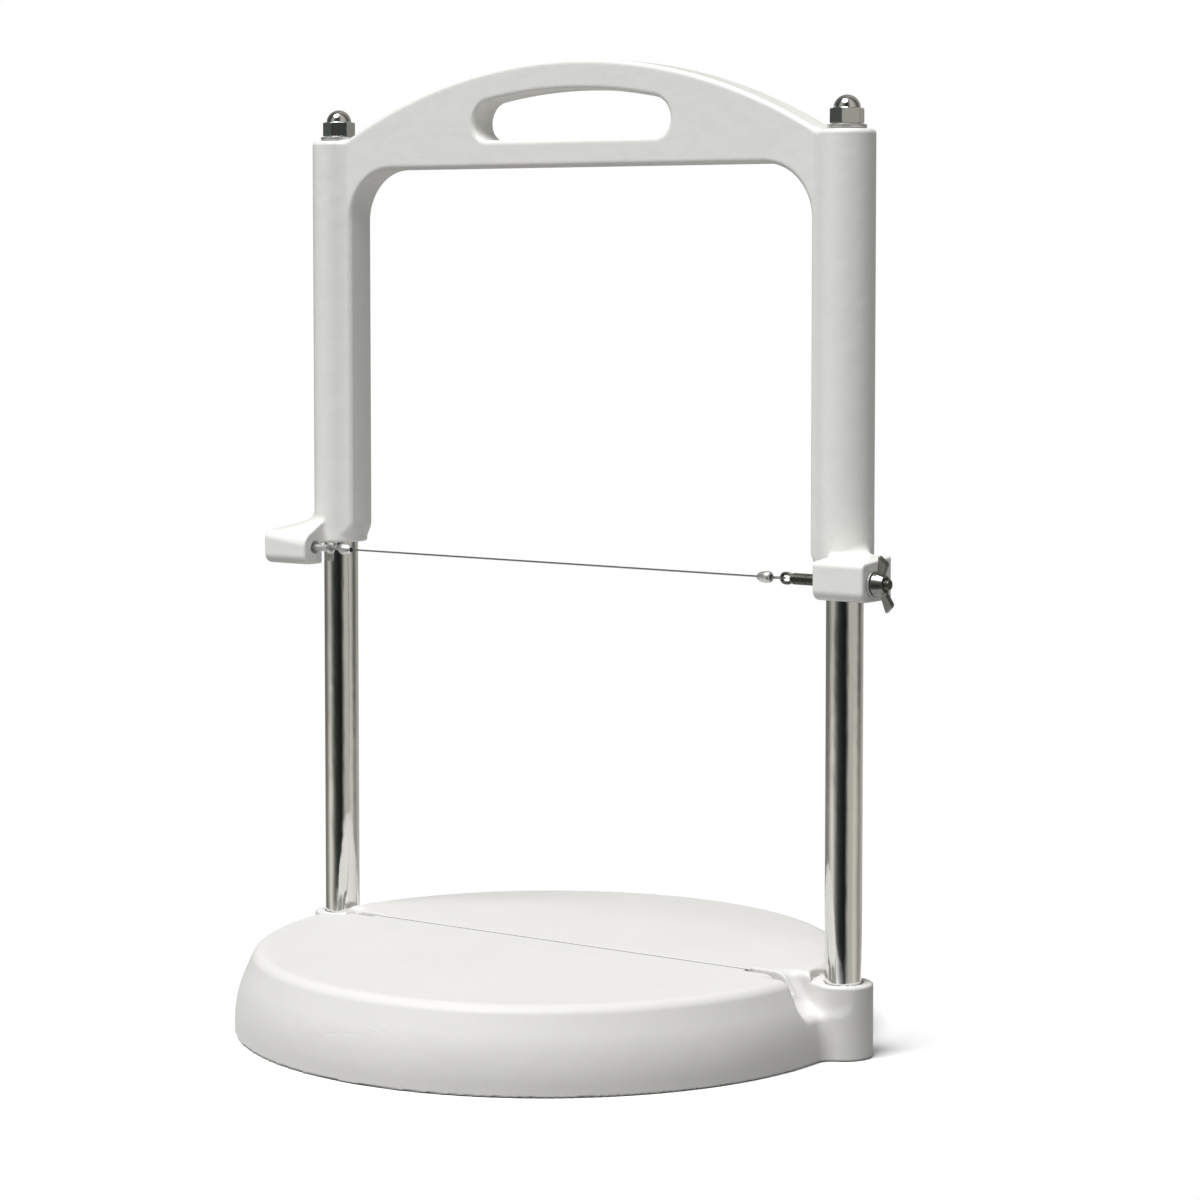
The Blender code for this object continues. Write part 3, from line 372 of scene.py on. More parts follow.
def contour(distance, lines):
    """The surface where a formula is zero, on a grid of unequal steps. Each cell that the surface crosses
    gets the point nearest to the planes found on its edges, by least squares. A point on a smooth part is
    then moved onto the surface, no farther than just outside its cell. Each crossed edge joins its four
    cells in a face. Returns points, faces and a normal for each face's corner, kept apart at sharp edges."""
    centre_pull, overshoot, beside, even_lean, same_way = 0.02, 0.2, 0.00012, 0.97, 0.93
    inside = distance(*np.meshgrid(*lines, indexing="ij", sparse=True)) < 0
    cell_keys, spots, normals, quads = [], [], [], []
    for axis in range(3):
        place, points, from_inside = crossings(distance, lines, inside, axis)
        around = []
        for b, c in ((-1, -1), (0, -1), (0, 0), (-1, 0)):
            cell = place.copy()
            cell[:, (axis + 1) % 3] += b
            cell[:, (axis + 2) % 3] += c
            around.append(np.ravel_multi_index(cell.T, inside.shape))
        around = np.stack(around, 1)
        quads.append(np.where(from_inside[:, None], around, around[:, ::-1]))
        cell_keys.append(around.T.ravel())
        spots.append(np.tile(points, (4, 1)))
        normals.append(np.tile(slope_of(distance, points), (4, 1)))
    spots, normals = np.concatenate(spots), np.concatenate(normals)
    cells, index = np.unique(np.concatenate(cell_keys), return_inverse=True)

    def summed(rows):
        """Each row of values added up over the edges of every cell."""
        return np.stack([np.bincount(index, weights=row) for row in rows], 1)

    share = np.bincount(index)[:, None]
    centre, lean = summed(spots.T) / share, summed(normals.T) / share
    offset = ((spots - centre[index]) * normals).sum(1)
    matrix = summed(normals[:, a] * normals[:, b] for a in range(3) for b in range(3)).reshape(-1, 3, 3)
    right = summed(normals.T * offset)[:, :, None]
    move = np.linalg.solve(matrix + centre_pull * np.eye(3), right)[:, :, 0]
    place = np.unravel_index(cells, inside.shape)
    low, high = [np.stack([line[at + end] for line, at in zip(lines, place)], 1) for end in (0, 1)]
    points = np.clip(centre + move, low, high)
    smooth = centre.copy()
    for _ in range(4):
        smooth -= distance(*smooth.T)[:, None] * slope_of(distance, smooth)
    margin = overshoot * (high - low)
    smooth = np.clip(smooth, low - margin, high + margin)
    facing = slope_of(distance, smooth)
    sharp = np.linalg.norm(lean, axis=1) < even_lean
    base, face = smooth[sharp], facing[sharp]
    helper = np.where(np.abs(face[:, :1]) < 0.7, [[1.0, 0, 0]], [[0, 1.0, 0]])
    first = np.cross(face, helper)
    first /= np.linalg.norm(first, axis=1)[:, None]
    second = np.cross(face, first)
    agree = [(slope_of(distance, base + way * beside) * face).sum(1)
             for way in (first, -first, second, -second)]
    sharp[sharp] = np.min(agree, 0) < same_way
    points = np.where(sharp[:, None], points, smooth)
    corner = np.searchsorted(cells, np.concatenate(quads))
    corner_normals = facing[corner]
    edgy = sharp[corner]
    toward = points[corner] * 0.6 + points[corner].mean(1)[:, None] * 0.4
    corner_normals[edgy] = slope_of(distance, toward[edgy])
    return points, corner, corner_normals


def steps(*spans):
    """A row of grid lines from (start, spacing) pairs and a last end: each stretch is divided evenly."""
    line = []
    for (start, spacing), following in zip(spans[:-1], spans[1:]):
        end = following[0] if isinstance(following, tuple) else following
        count = max(int(round((end - start) / spacing)), 1)
        line.append(start + (end - start) * np.arange(count) / count)
    return np.concatenate(line + [np.array([spans[-1]])])


def mirrored_steps(*spans):
    """The same grid lines on both sides of zero."""
    line = steps(*spans)
    return np.concatenate([-line[:0:-1], line])


def placed(name, data):
    """A new object in the scene that holds the data."""
    made = bpy.data.objects.new(name, data)
    bpy.context.collection.objects.link(made)
    return made


def mesh_object(name, points, faces, corner_normals=None):
    """Put points and faces into a mesh object at the origin, with the surface's own normals if given."""
    mesh = bpy.data.meshes.new(name)
    mesh.from_pydata(points, [], faces)
    mesh.shade_smooth()
    if corner_normals is not None:
        mesh.normals_split_custom_set(corner_normals.reshape(-1, 3).tolist())
    mesh.update()
    return placed(name, mesh)


def contoured(name, distance, *lines):
    """A piece from a distance formula and its three rows of grid lines."""
    return mesh_object(name, *contour(distance, lines))


def grid_faces(rows, columns, closed):
    """Faces between neighbouring rings of points, and between the last ring and the first if closed."""
    index = np.arange(rows * columns).reshape(rows, columns)
    if closed:
        index = np.concatenate([index, index[:1]])
    index = np.concatenate([index, index[:, :1]], 1)
    return np.stack([index[:-1, :-1], index[:-1, 1:], index[1:, 1:], index[1:, :-1]], -1).reshape(-1, 4)


def turned(name, profile, columns, centre, along_x=False):
    """A closed profile of (radius, height) carried round an axis: across is the radius times the cosine of
    the angle, and deep is the radius times its sine."""
    radius, height = np.asarray(profile, float).T[:, :, None]
    angle = np.arange(columns) * 2 * math.pi / columns
    across, deep = radius * np.cos(angle) + centre[0], radius * np.sin(angle) + centre[1]
    level = np.broadcast_to(height, across.shape)
    points = np.stack([level, across, deep] if along_x else [across, deep, level], -1)
    return skins(name, (points.reshape(-1, 3), grid_faces(len(profile), columns, closed=True)), sharp=30.0)


def eased(profile, ease):
    """A profile whose corners are each cut back by ease and rounded: a quadratic curve through the corner."""
    profile = np.asarray(profile, float)
    before, after = np.roll(profile, 1, 0) - profile, np.roll(profile, -1, 0) - profile
    reach_before, reach_after = np.linalg.norm(before, axis=1), np.linalg.norm(after, axis=1)
    back = np.minimum(ease, 0.45 * np.minimum(reach_before, reach_after))[:, None]
    start = profile + before / reach_before[:, None] * back
    end = profile + after / reach_after[:, None] * back
    t = np.linspace(0, 1, 4)[None, :, None]
    curve = (1 - t) ** 2 * start[:, None] + 2 * t * (1 - t) * profile[:, None] + t ** 2 * end[:, None]
    return curve.reshape(-1, 2)


def ring(inner, outer, foot, top, ease):
    """The eased profile of a plain ring."""
    return eased([(outer, foot), (outer, top), (inner, top), (inner, foot)], ease)


def ring_ends(rows, columns):
    """The two flat ends of a bar with an even number of sides, each as a strip of four-sided faces."""
    step = np.arange(columns // 2 - 1)
    cap = np.stack([step, step + 1, columns - 2 - step, columns - 1 - step], 1)
    return np.concatenate([cap[:, ::-1], cap + (rows - 1) * columns])


def swept(path, radius, sides, closed=False, up=(0.0, 0.0, 1.0)):
    """A round bar along a path: a ring of points about each path point, in the plane square to the path,
    spanned by the part of a fixed direction that is square to the path and their cross product. The radius
    is one number, or one for each point of each ring."""
    path = np.asarray(path, float)
    along = np.roll(path, -1, 0) - np.roll(path, 1, 0) if closed else np.gradient(path, axis=0)
    along /= np.linalg.norm(along, axis=1)[:, None]
    fixed = np.broadcast_to(np.asarray(up, float), path.shape)
    first = fixed - (fixed * along).sum(1)[:, None] * along
    first /= np.linalg.norm(first, axis=1)[:, None]
    second = np.cross(along, first)
    angle = np.arange(sides) * 2 * math.pi / sides
    thick = np.broadcast_to(radius, (len(path), sides))
    spokes = first[:, None] * np.cos(angle)[None, :, None] + second[:, None] * np.sin(angle)[None, :, None]
    points = path[:, None] + spokes * thick[:, :, None]
    faces = grid_faces(len(path), sides, closed)
    if not closed:
        faces = np.concatenate([faces, ring_ends(len(path), sides)])
    return points.reshape(-1, 3), faces


def skins(name, *parts, sharp):
    """One object from several closed skins, each given as its points and four-sided faces. A skin whose
    faces enclose a negative volume is turned round."""
    points, faces, first = [], [], 0
    for part_points, part_faces in parts:
        a, b, c, d = part_points[part_faces].transpose(1, 0, 2)
        if (np.cross(c - a, d - b) * (a + b + c + d)).sum() < 0:
            part_faces = part_faces[:, ::-1]
        points.append(part_points)
        faces.append(part_faces + first)
        first += len(part_points)
    piece = mesh_object(name, np.concatenate(points), np.concatenate(faces))
    piece.data.set_sharp_from_angle(angle=math.radians(sharp))
    return piece


def threaded_radius(along, sides, radius, pitch, depth, ends):
    """A thread's radius at each place along and round a bar: the outer radius less the depth times a wave
    that repeats once in a pitch and moves one pitch in a turn, fading to the root at both ends."""
    angle = np.arange(sides) * 2 * math.pi / sides
    phase = 2 * math.pi * along[:, None] / pitch - angle[None, :]
    wave = 0.5 - 0.5 * np.cos(phase)
    wave = wave * wave * (3 - 2 * wave)
    near = np.minimum(along - along[0], along[-1] - along)
    lead = np.clip(near / ends, 0, 1)[:, None]
    return radius - depth * (1 - wave * lead)


# ---- materials

def plug(tree, node, values):
    """Fill a node's inputs: a socket is linked, and anything else becomes the input's own value."""
    for slot, value in values.items():
        if isinstance(value, bpy.types.NodeSocket):
            tree.links.new(value, node.inputs[slot])
        else:
            node.inputs[slot].default_value = value


def add_node(tree, kind, values, output=0, **settings):
    """A new node with its settings made and its inputs filled. Returns one of its outputs."""
    node = tree.nodes.new("ShaderNode" + kind)
    for name, value in settings.items():
        setattr(node, name, value)
    plug(tree, node, values)
    return node.outputs[output]


def math_node(tree, operation, first, second=None, clamp=False):
    """A Math node whose operands are sockets or numbers."""
    values = {0: first} if second is None else {0: first, 1: second}
    return add_node(tree, "Math", values, operation=operation, use_clamp=clamp)


def times_plus(tree, value, factor, base, clamp=False):
    """A value times a factor, plus a base."""
    return math_node(tree, 'ADD', math_node(tree, 'MULTIPLY', value, factor), base, clamp)


def noise_node(tree, vector, scale, detail=3.0, rough=0.55):
    """A noise between 0 and 1."""
    values = {"Vector": vector, "Scale": scale, "Detail": detail, "Roughness": rough}
    return add_node(tree, "TexNoise", values, "Fac")


def mapped(tree, vector, scale, turn=0.0):
    """Coordinates scaled on each axis, then turned about Z."""
    return add_node(tree, "Mapping", {"Vector": vector, "Scale": scale, "Rotation": (0.0, 0.0, turn)})


def mixed(tree, share, first, second):
    """Two colours mixed by a share."""
    return add_node(tree, "Mix", {"Factor": share, "A": first, "B": second}, "Result", data_type='RGBA')


def ranged(tree, value, start, end, first=0.0, last=1.0, **settings):
    """Where a value stands between a start and an end, as a number from first to last."""
    return add_node(tree, "MapRange", {"Value": value, "From Min": start, "From Max": end, "To Min": first,
                                       "To Max": last}, "Result", **settings)


def axes(tree, vector):
    """The X, Y and Z of a vector."""
    node = tree.nodes.new("ShaderNodeSeparateXYZ")
    plug(tree, node, {0: vector})
    return tuple(node.outputs)


def bumped(tree, height, distance):
    """The normal that a height gives over a distance."""
    return add_node(tree, "Bump", {"Height": height, "Strength": 1.0, "Distance": distance}, "Normal")


def new_group(name, inputs, outputs):
    """An empty node group with named inputs and outputs. Returns its tree, the sockets that its inputs come
    from and the node that its outputs go to."""
    tree = bpy.data.node_groups.new(name, "ShaderNodeTree")
    kinds = {"Vector": 'NodeSocketVector', "Colour": 'NodeSocketColor'}
    for titles, way in ((inputs, 'INPUT'), (outputs, 'OUTPUT')):
        for title in titles:
            tree.interface.new_socket(name=title, in_out=way, socket_type=kinds.get(title, 'NodeSocketFloat'))
    enter, leave = tree.nodes.new("NodeGroupInput"), tree.nodes.new("NodeGroupOutput")
    return tree, enter.outputs, leave


def mottle_group():
    """Slow drift of tone over a surface: the base colour times one plus the amount times a broad noise and
    a fine noise, each centred on zero."""
    inputs = ("Vector", "Colour", "Scale", "Amount")
    tree, given, leave = new_group("mottled_tone", inputs, ("Colour", "Tone"))
    broad = noise_node(tree, given["Vector"], given["Scale"])
    fine = noise_node(tree, given["Vector"], math_node(tree, 'MULTIPLY', given["Scale"], 7.0))
    both = math_node(tree, 'ADD', broad, fine)
    drift = times_plus(tree, math_node(tree, 'SUBTRACT', both, 1.0), given["Amount"], 1.0)
    toned = add_node(tree, "VectorMath", {0: given["Colour"], "Scale": drift}, operation='SCALE')
    plug(tree, leave, {"Colour": toned, "Tone": both})


def streak_group():
    """Lengthwise polishing marks: a noise squeezed along one axis, so that it varies quickly across the
    marks and slowly along them. Gives a height and a roughness about a middle value."""
    inputs = ("Vector", "Scale", "Roughness", "Spread")
    tree, given, leave = new_group("polishing_marks", inputs, ("Roughness", "Height"))
    marks = noise_node(tree, given["Vector"], given["Scale"], 4.0, 0.6)
    centred = math_node(tree, 'SUBTRACT', marks, 0.5)
    rough = times_plus(tree, centred, given["Spread"], given["Roughness"], clamp=True)
    plug(tree, leave, {"Roughness": rough, "Height": marks})


def skin_group():
    """The skin of paint or moulded plastic: broad slow waves plus a fine pebble, as one height."""
    inputs = ("Vector", "Wave scale", "Pebble scale", "Pebble share")
    tree, given, leave = new_group("surface_skin", inputs, ("Height",))
    waves = noise_node(tree, given["Vector"], given["Wave scale"], 2.0, 0.4)
    pebble = noise_node(tree, given["Vector"], given["Pebble scale"], 2.0, 0.5)
    plug(tree, leave, {"Height": times_plus(tree, pebble, given["Pebble share"], waves)})


def group_node(tree, group, values):
    """A node group placed in a material. Returns its outputs."""
    node = tree.nodes.new("ShaderNodeGroup")
    node.node_tree = bpy.data.node_groups[group]
    plug(tree, node, values)
    return node.outputs


def mottled(tree, place, colour, scale, amount):
    """A colour with a drift of tone."""
    return group_node(tree, "mottled_tone", {"Vector": place, "Colour": colour, "Scale": scale,
                                             "Amount": amount})


def skin_height(tree, place, waves, pebbles, share):
    """The height of a painted or moulded skin, from the scales of its waves and pebbles."""
    return group_node(tree, "surface_skin", {"Vector": place, "Wave scale": waves, "Pebble scale": pebbles,
                                             "Pebble share": share})["Height"]


def start_material(name):
    """A new material: its tree, its shader and its Object coordinates."""
    made = bpy.data.materials.new(name)
    made.use_nodes = True
    tree = made.node_tree
    return tree, tree.nodes["Principled BSDF"], add_node(tree, "TexCoord", {}, "Object")


def plastic_material(colour):
    """Moulded satin plastic: a drift of tone, a fine skin, faint knife marks along the board's top and
    painted shade: a dark grey line down in the wire's groove."""
    groove_half, groove_end, groove_shade_grey = 0.0013, 0.1225, (0.16, 0.15, 0.14, 1.0)
    tree, shader, place = start_material("satin_board_plastic")
    tone = mottled(tree, place, colour, 24.0, 0.035)
    x, y, z = axes(tree, place)
    # painted shade: a dark grey mixed into the colour down in the wire's groove, short of its ends
    aside = math_node(tree, 'ABSOLUTE', math_node(tree, 'SUBTRACT', y, WIRE_Y))
    inside = math_node(tree, 'MULTIPLY', math_node(tree, 'LESS_THAN', aside, groove_half),
                       math_node(tree, 'LESS_THAN', z, BOARD_TOP - 0.0002))
    short = math_node(tree, 'LESS_THAN', math_node(tree, 'ABSOLUTE', x), groove_end)
    groove_shade_share = math_node(tree, 'MULTIPLY', math_node(tree, 'MULTIPLY', inside, short), 0.75)
    marks = noise_node(tree, mapped(tree, place, (6.0, 420.0, 1.0), math.radians(7.0)), 1.0, 3.0, 0.6)
    lines = math_node(tree, 'SUBTRACT', marks, 0.62, clamp=True)
    height = times_plus(tree, lines, -0.9, skin_height(tree, place, 45.0, 1100.0, 0.10))
    plug(tree, shader, {"Base Color": mixed(tree, groove_shade_share, tone["Colour"], groove_shade_grey),
                        "Roughness": times_plus(tree, tone["Tone"], 0.10, 0.42),
                        "Normal": bumped(tree, height, 0.00035), "Specular IOR Level": 0.35})


def enamel_material(colour):
    """Gloss enamel on a casting: slow waves in the skin under a clear gloss, and slightly duller patches."""
    tree, shader, place = start_material("gloss_white_enamel")
    tone = mottled(tree, place, colour, 18.0, 0.03)
    height = skin_height(tree, place, 120.0, 700.0, 0.12)
    plug(tree, shader, {"Base Color": tone["Colour"], "Roughness": times_plus(tree, tone["Tone"], 0.10, 0.14),
                        "Normal": bumped(tree, height, 0.00022), "IOR": 1.5})


def nylon_material(colour):
    """Natural nylon: a milky tone with turning marks round the bore."""
    tree, shader, place = start_material("natural_nylon")
    tone = mottled(tree, place, colour, 160.0, 0.08)
    height = skin_height(tree, mapped(tree, place, (1.0, 1.0, 12.0)), 150.0, 900.0, 0.3)
    plug(tree, shader, {"Base Color": tone["Colour"], "Roughness": times_plus(tree, tone["Tone"], 0.15, 0.35),
                        "Normal": bumped(tree, height, 0.00008)})


def steel_material(name, colour, rough, spread, stretch=(1.0, 1.0, 1.0), drift=0.06, wavy=0.0):
    """Bright metal with polishing marks along one axis, a slight drift of tone and, if wavy, long shallow
    waves that bend what it mirrors."""
    depth = 0.00002
    tree, shader, place = start_material(name)
    marks = group_node(tree, "polishing_marks", {"Vector": mapped(tree, place, stretch), "Scale": 900.0,
                                                 "Roughness": rough, "Spread": spread})
    height = marks["Height"]
    if wavy:
        waves = noise_node(tree, mapped(tree, place, (1.0, 1.0, 0.35)), 110.0, 2.0, 0.5)
        height = times_plus(tree, waves, wavy / depth, height)
    plug(tree, shader, {"Base Color": mottled(tree, place, colour, 90.0, drift)["Colour"],
                        "Roughness": marks["Roughness"], "Normal": bumped(tree, height, depth),
                        "Metallic": 1.0})


def dress(piece, material, body=None, stands_for=None):
    """Give a piece its material and, if it is a new one, its body, and hide the solid that it stands for."""
    surface = bpy.data.materials[material]
    if piece.data.materials:
        for place in piece.material_slots:
            place.material = surface
    else:
        piece.data.materials.append(surface)
    if body:
        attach(piece, body)
        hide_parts(stands_for)


# ---- operators

class CUTTER_OT_materials(bpy.types.Operator):
    """Make the node groups and materials"""
    bl_idname = "cutter.materials"
    bl_label = "Materials"

    def execute(self, context):
        colours = context.scene.cutter_colours
        mottle_group()
        streak_group()
        skin_group()
        plastic_material(colours.plastic)
        enamel_material(colours.enamel)
        nylon_material(colours.nylon)
        for name, rough, spread, changes in (
                ("polished_post_steel", 0.085, 0.06, {"stretch": (1.0, 1.0, 0.02), "wavy": 0.0003}),
                ("polished_nut_steel", 0.12, 0.10, {}),
                ("plated_steel", 0.22, 0.14, {}),
                ("threaded_steel", 0.38, 0.15, {"drift": 0.12}),
                ("spring_steel", 0.30, 0.12, {}),
                ("cast_nut_steel", 0.30, 0.16, {"drift": 0.12}),
                ("cutting_wire_steel", 0.36, 0.16, {"stretch": (0.05, 1.0, 1.0), "drift": 0.12})):
            steel_material(name, getattr(colours, name), rough, spread, **changes)
        return {'FINISHED'}


class CUTTER_OT_board(bpy.types.Operator):
    """Make the round board with its bosses, wire groove, pockets and sockets"""
    bl_idname = "cutter.board"
    bl_label = "Board"

    def execute(self, context):
        across = mirrored_steps((0.0, 0.0033), (0.0975, 0.0012), 0.1566)
        deep = steps((-0.1660, 0.0026), (-0.0310, 0.0011), (-0.0215, 0.0006), (-0.0155, 0.0011),
                     (0.0165, 0.0026), 0.1175)
        high = steps((-0.0008, 0.0008), (0.0024, 0.0019), (0.0130, 0.0014), (0.0270, 0.0010), 0.0378)
        board = contoured("board_skin", board_formula(context.scene.cutter_sizes), across, deep, high)
        dress(board, "satin_board_plastic", "base_unit", "base_board")
        return {'FINISHED'}


class CUTTER_OT_frame(bpy.types.Operator):
    """Make the cast arch frame with its hand slot, sleeves and wire lugs"""
    bl_idname = "cutter.frame"
    bl_label = "Frame"

    def execute(self, context):
        across = mirrored_steps((0.0, 0.0020), (0.0440, 0.0010), (0.0570, 0.0020), (0.0930, 0.0012),
                                (0.1240, 0.0008), (0.1560, 0.0010), 0.1668)
        deep = steps((-0.0280, 0.0009), (-0.0095, 0.0006), (-0.0050, 0.0011), (0.0050, 0.0006),
                     (0.0088, 0.0009), 0.0148)
        high = steps((0.1964, 0.0007), (0.2250, 0.0012), (0.2350, 0.0034), (0.3500, 0.0014),
                     (0.3780, 0.0009), 0.4310)
        arch = contoured("arch_casting", frame_formula(context.scene.cutter_sizes), across, deep, high)
        dress(arch, "gloss_white_enamel", "frame_unit", "arch_frame")
        return {'FINISHED'}


class CUTTER_OT_posts(bpy.types.Operator):
    """Make the posts, guide rods, washers and nuts"""
    bl_idname = "cutter.posts"
    bl_label = "Posts"

    def execute(self, context):
        radius, inner_radius = context.scene.cutter_sizes.post_radius, 0.0065
        levels = (0.0143, 0.0160, 0.2117, 0.2134)
        tube = [(radius, level) for level in levels] + [(inner_radius, level) for level in levels[::-1]]
        around = steps((-0.0080, 0.00032), 0.0080)
        for side, word in SIDES:
            at = (side * POST_X, 0.0)
            post = turned(f"{word}_post_tube", eased(tube, 0.0004), 96, at)
            dress(post, "polished_post_steel", "base_unit", f"{word}_post")
            for label, foot in (("foot", 0.0081), ("stop", 0.3963)):
                profile = ring(0.0043, 0.0085, foot, foot + 0.0016, 0.0003)
                washer = turned(f"{word}_{label}_washer_ring", profile, 64, at)
                dress(washer, "plated_steel", "base_unit", f"{word}_{label}_washer")
            dress(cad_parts[f"{word}_guide_rod"], "plated_steel")
            for label, foot, tall, turn, finish, slot in (
                    ("acorn_nut", 0.3982, 0.0122, ACORN_TURNS[word], "polished_nut_steel", "polished_steel"),
                    ("foot_nut", 0.0013, 0.0065, 0.0, "plated_steel", "plated_steel")):
                formula = nut_formula(at[0], foot, math.radians(turn), domed=label == "acorn_nut")
                high = steps((foot - 0.0006, 0.00032), foot + tall + 0.0006)
                nut = contoured(f"{word}_{label}_turned", formula, around + at[0], around, high)
                dress(nut, finish, "base_unit", f"{word}_{label}")
        return {'FINISHED'}


class CUTTER_OT_springs(bpy.types.Operator):
    """Make the return spring round each guide rod"""
    bl_idname = "cutter.springs"
    bl_label = "Return springs"

    def execute(self, context):
        sizes = context.scene.cutter_sizes
        wire, rest = sizes.spring_wire / 2, SPRING_TOP - SPRING_FOOT
        angle = np.linspace(0, 2 * math.pi * sizes.spring_turns, 14 * sizes.spring_turns + 1)
        share = angle / angle[-1]
        height = SPRING_FOOT + wire + (rest - 2 * wire) * share
        for side, word in SIDES:
            path = np.stack([side * POST_X + 0.0053 * np.cos(angle), 0.0053 * np.sin(angle), height], 1)
            spring = skins(f"{word}_spring_coil", swept(path, wire, 6), sharp=80.0)
            dress(spring, "spring_steel", "base_unit", f"{word}_return_spring")
            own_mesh(spring)
        return {'FINISHED'}


class CUTTER_OT_bushes(bpy.types.Operator):
    """Make the bushes in each sleeve's mouth and crown"""
    bl_idname = "cutter.bushes"
    bl_label = "Bushes"

    def execute(self, context):
        mouth = ring(0.0083, 0.0102, 0.2083, 0.2283, 0.0004)
        crown = eased([(0.0085, 0.3890), (0.0085, 0.3902), (0.0066, 0.3902), (0.0066, 0.3957),
                       (0.0043, 0.3957), (0.0043, 0.3890)], 0.0003)
        for side, word in SIDES:
            for label, profile in (("mouth", mouth), ("crown", crown)):
                bush = turned(f"{word}_{label}_sleeve", profile, 72, (side * POST_X, 0.0))
                dress(bush, "natural_nylon", "frame_unit", f"{word}_{label}_bush")
        return {'FINISHED'}


def make_tension_screw(pitch):
    """The wire's screw: a threaded bar along the wire's line and a link-shaped eye at its inner end."""
    inner, outer, sides = 0.1252, 0.1735, 24
    along = steps((inner, pitch / 8), outer)
    bar = np.stack([along, np.full_like(along, WIRE_Y), np.full_like(along, WIRE_Z)], 1)
    thread = threaded_radius(along, sides, radius=0.0025, pitch=pitch, depth=0.0004, ends=0.0012)
    eye_in, eye_out, eye_radius, eye_wire = 0.1219, 0.1232, 0.0020, 0.00075
    turn = np.linspace(math.pi / 2, 3 * math.pi / 2, 15)
    near = np.stack([eye_in + eye_radius * np.cos(turn), WIRE_Z + eye_radius * np.sin(turn)], 1)
    far = np.stack([eye_out - eye_radius * np.cos(turn[::-1]), WIRE_Z + eye_radius * np.sin(turn[::-1])], 1)
    x, z = np.concatenate([near, far]).T
    eye = np.stack([x, np.full_like(x, WIRE_Y), z], 1)
    return skins("tension_screw_thread", swept(bar, thread, sides),
                 swept(eye, eye_wire, 10, closed=True, up=(0.0, 1.0, 0.0)), sharp=60.0)


class CUTTER_OT_wire(bpy.types.Operator):
    """Make the cutting wire's fittings: ferrules, anchor, screw, washer and wing nut"""
    bl_idname = "cutter.wire"
    bl_label = "Cutting wire"

    def execute(self, context):
        sizes = context.scene.cutter_sizes
        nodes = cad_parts
        dress(nodes["cutting_wire"], "cutting_wire_steel")
        shape = ((0.0, 0.0011), (0.0, 0.0014), (0.16, 0.0021), (0.62, 0.0026), (0.88, 0.0025),
                 (1.0, 0.0019), (1.0, 0.0011))
        for _, word in SIDES:
            low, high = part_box(f"{word}_ferrule")
            span = high[0] - low[0]
            start, way = (low[0], 1) if word == "right" else (high[0], -1)
            bead = eased([(radius, start + way * share * span) for share, radius in shape], 0.0004)
            centre = ((low[1] + high[1]) / 2, (low[2] + high[2]) / 2)
            dress(turned(f"{word}_ferrule_bead", bead, 40, centre, along_x=True), "plated_steel", "frame_unit",
                  f"{word}_ferrule")
        dress(nodes["wire_anchor"], "plated_steel")
        dress(make_tension_screw(sizes.thread_pitch), "threaded_steel", "tension_screw", "tension_screw")
        dress(nodes["wing_washer"], "plated_steel")
        along, deep, high = [steps((low, 0.00030), top) for low, top in (
            (WING_FOOT - 0.0006, WING_FOOT + 0.0085), (WIRE_Y - 0.0062, WIRE_Y + 0.0062),
            (WIRE_Z - 0.0140, WIRE_Z + 0.0140))]
        nut = contoured("wing_nut_casting", wing_nut_formula(sizes.wing_span), along, deep, high)
        dress(nut, "cast_nut_steel", "wing_nut", "wing_nut")
        return {'FINISHED'}


class CUTTER_OT_stage(bpy.types.Operator):
    """Make the floor, the light, the surround and the camera"""
    bl_idname = "cutter.stage"
    bl_label = "Stage"

    def execute(self, context):
        settings = context.scene.cutter_stage
        make_floor(settings)
        make_world(settings)
        make_key_light(settings)
        make_camera(settings)
        context.scene.view_settings.view_transform = 'Standard'
        return {'FINISHED'}


def seen_ray(tree):
    """1 for rays from the camera and for those that metal or glass sends on, 0 for rays that light the
    object."""
    path = tree.nodes.new("ShaderNodeLightPath")
    both = math_node(tree, 'MAXIMUM', path.outputs["Is Camera Ray"], path.outputs["Is Glossy Ray"])
    return math_node(tree, 'MAXIMUM', both, path.outputs["Is Transmission Ray"])


def make_floor(settings):
    """A wide level floor: white as the camera and metal see it, greyer in the light that it gives back, and
    clear away from the object."""
    half, level, grey = 12.0, -0.0002, settings.floor_grey
    corners = [(-half, -half, level), (half, -half, level), (half, half, level), (-half, half, level)]
    floor = mesh_object("floor", corners, [(0, 1, 2, 3)])
    tree, shader, place = start_material("pale_floor")
    away = add_node(tree, "VectorMath", {0: place}, "Value", operation='LENGTH')
    plug(tree, shader, {"Base Color": mixed(tree, seen_ray(tree), (grey, grey, grey, 1.0), WHITE),
                        "Alpha": ranged(tree, away, 0.18, 0.29, 1.0, 0.0, interpolation_type='SMOOTHSTEP'),
                        "Roughness": 0.9, "Specular IOR Level": 0.0})
    floor.data.materials.append(bpy.data.materials["pale_floor"])


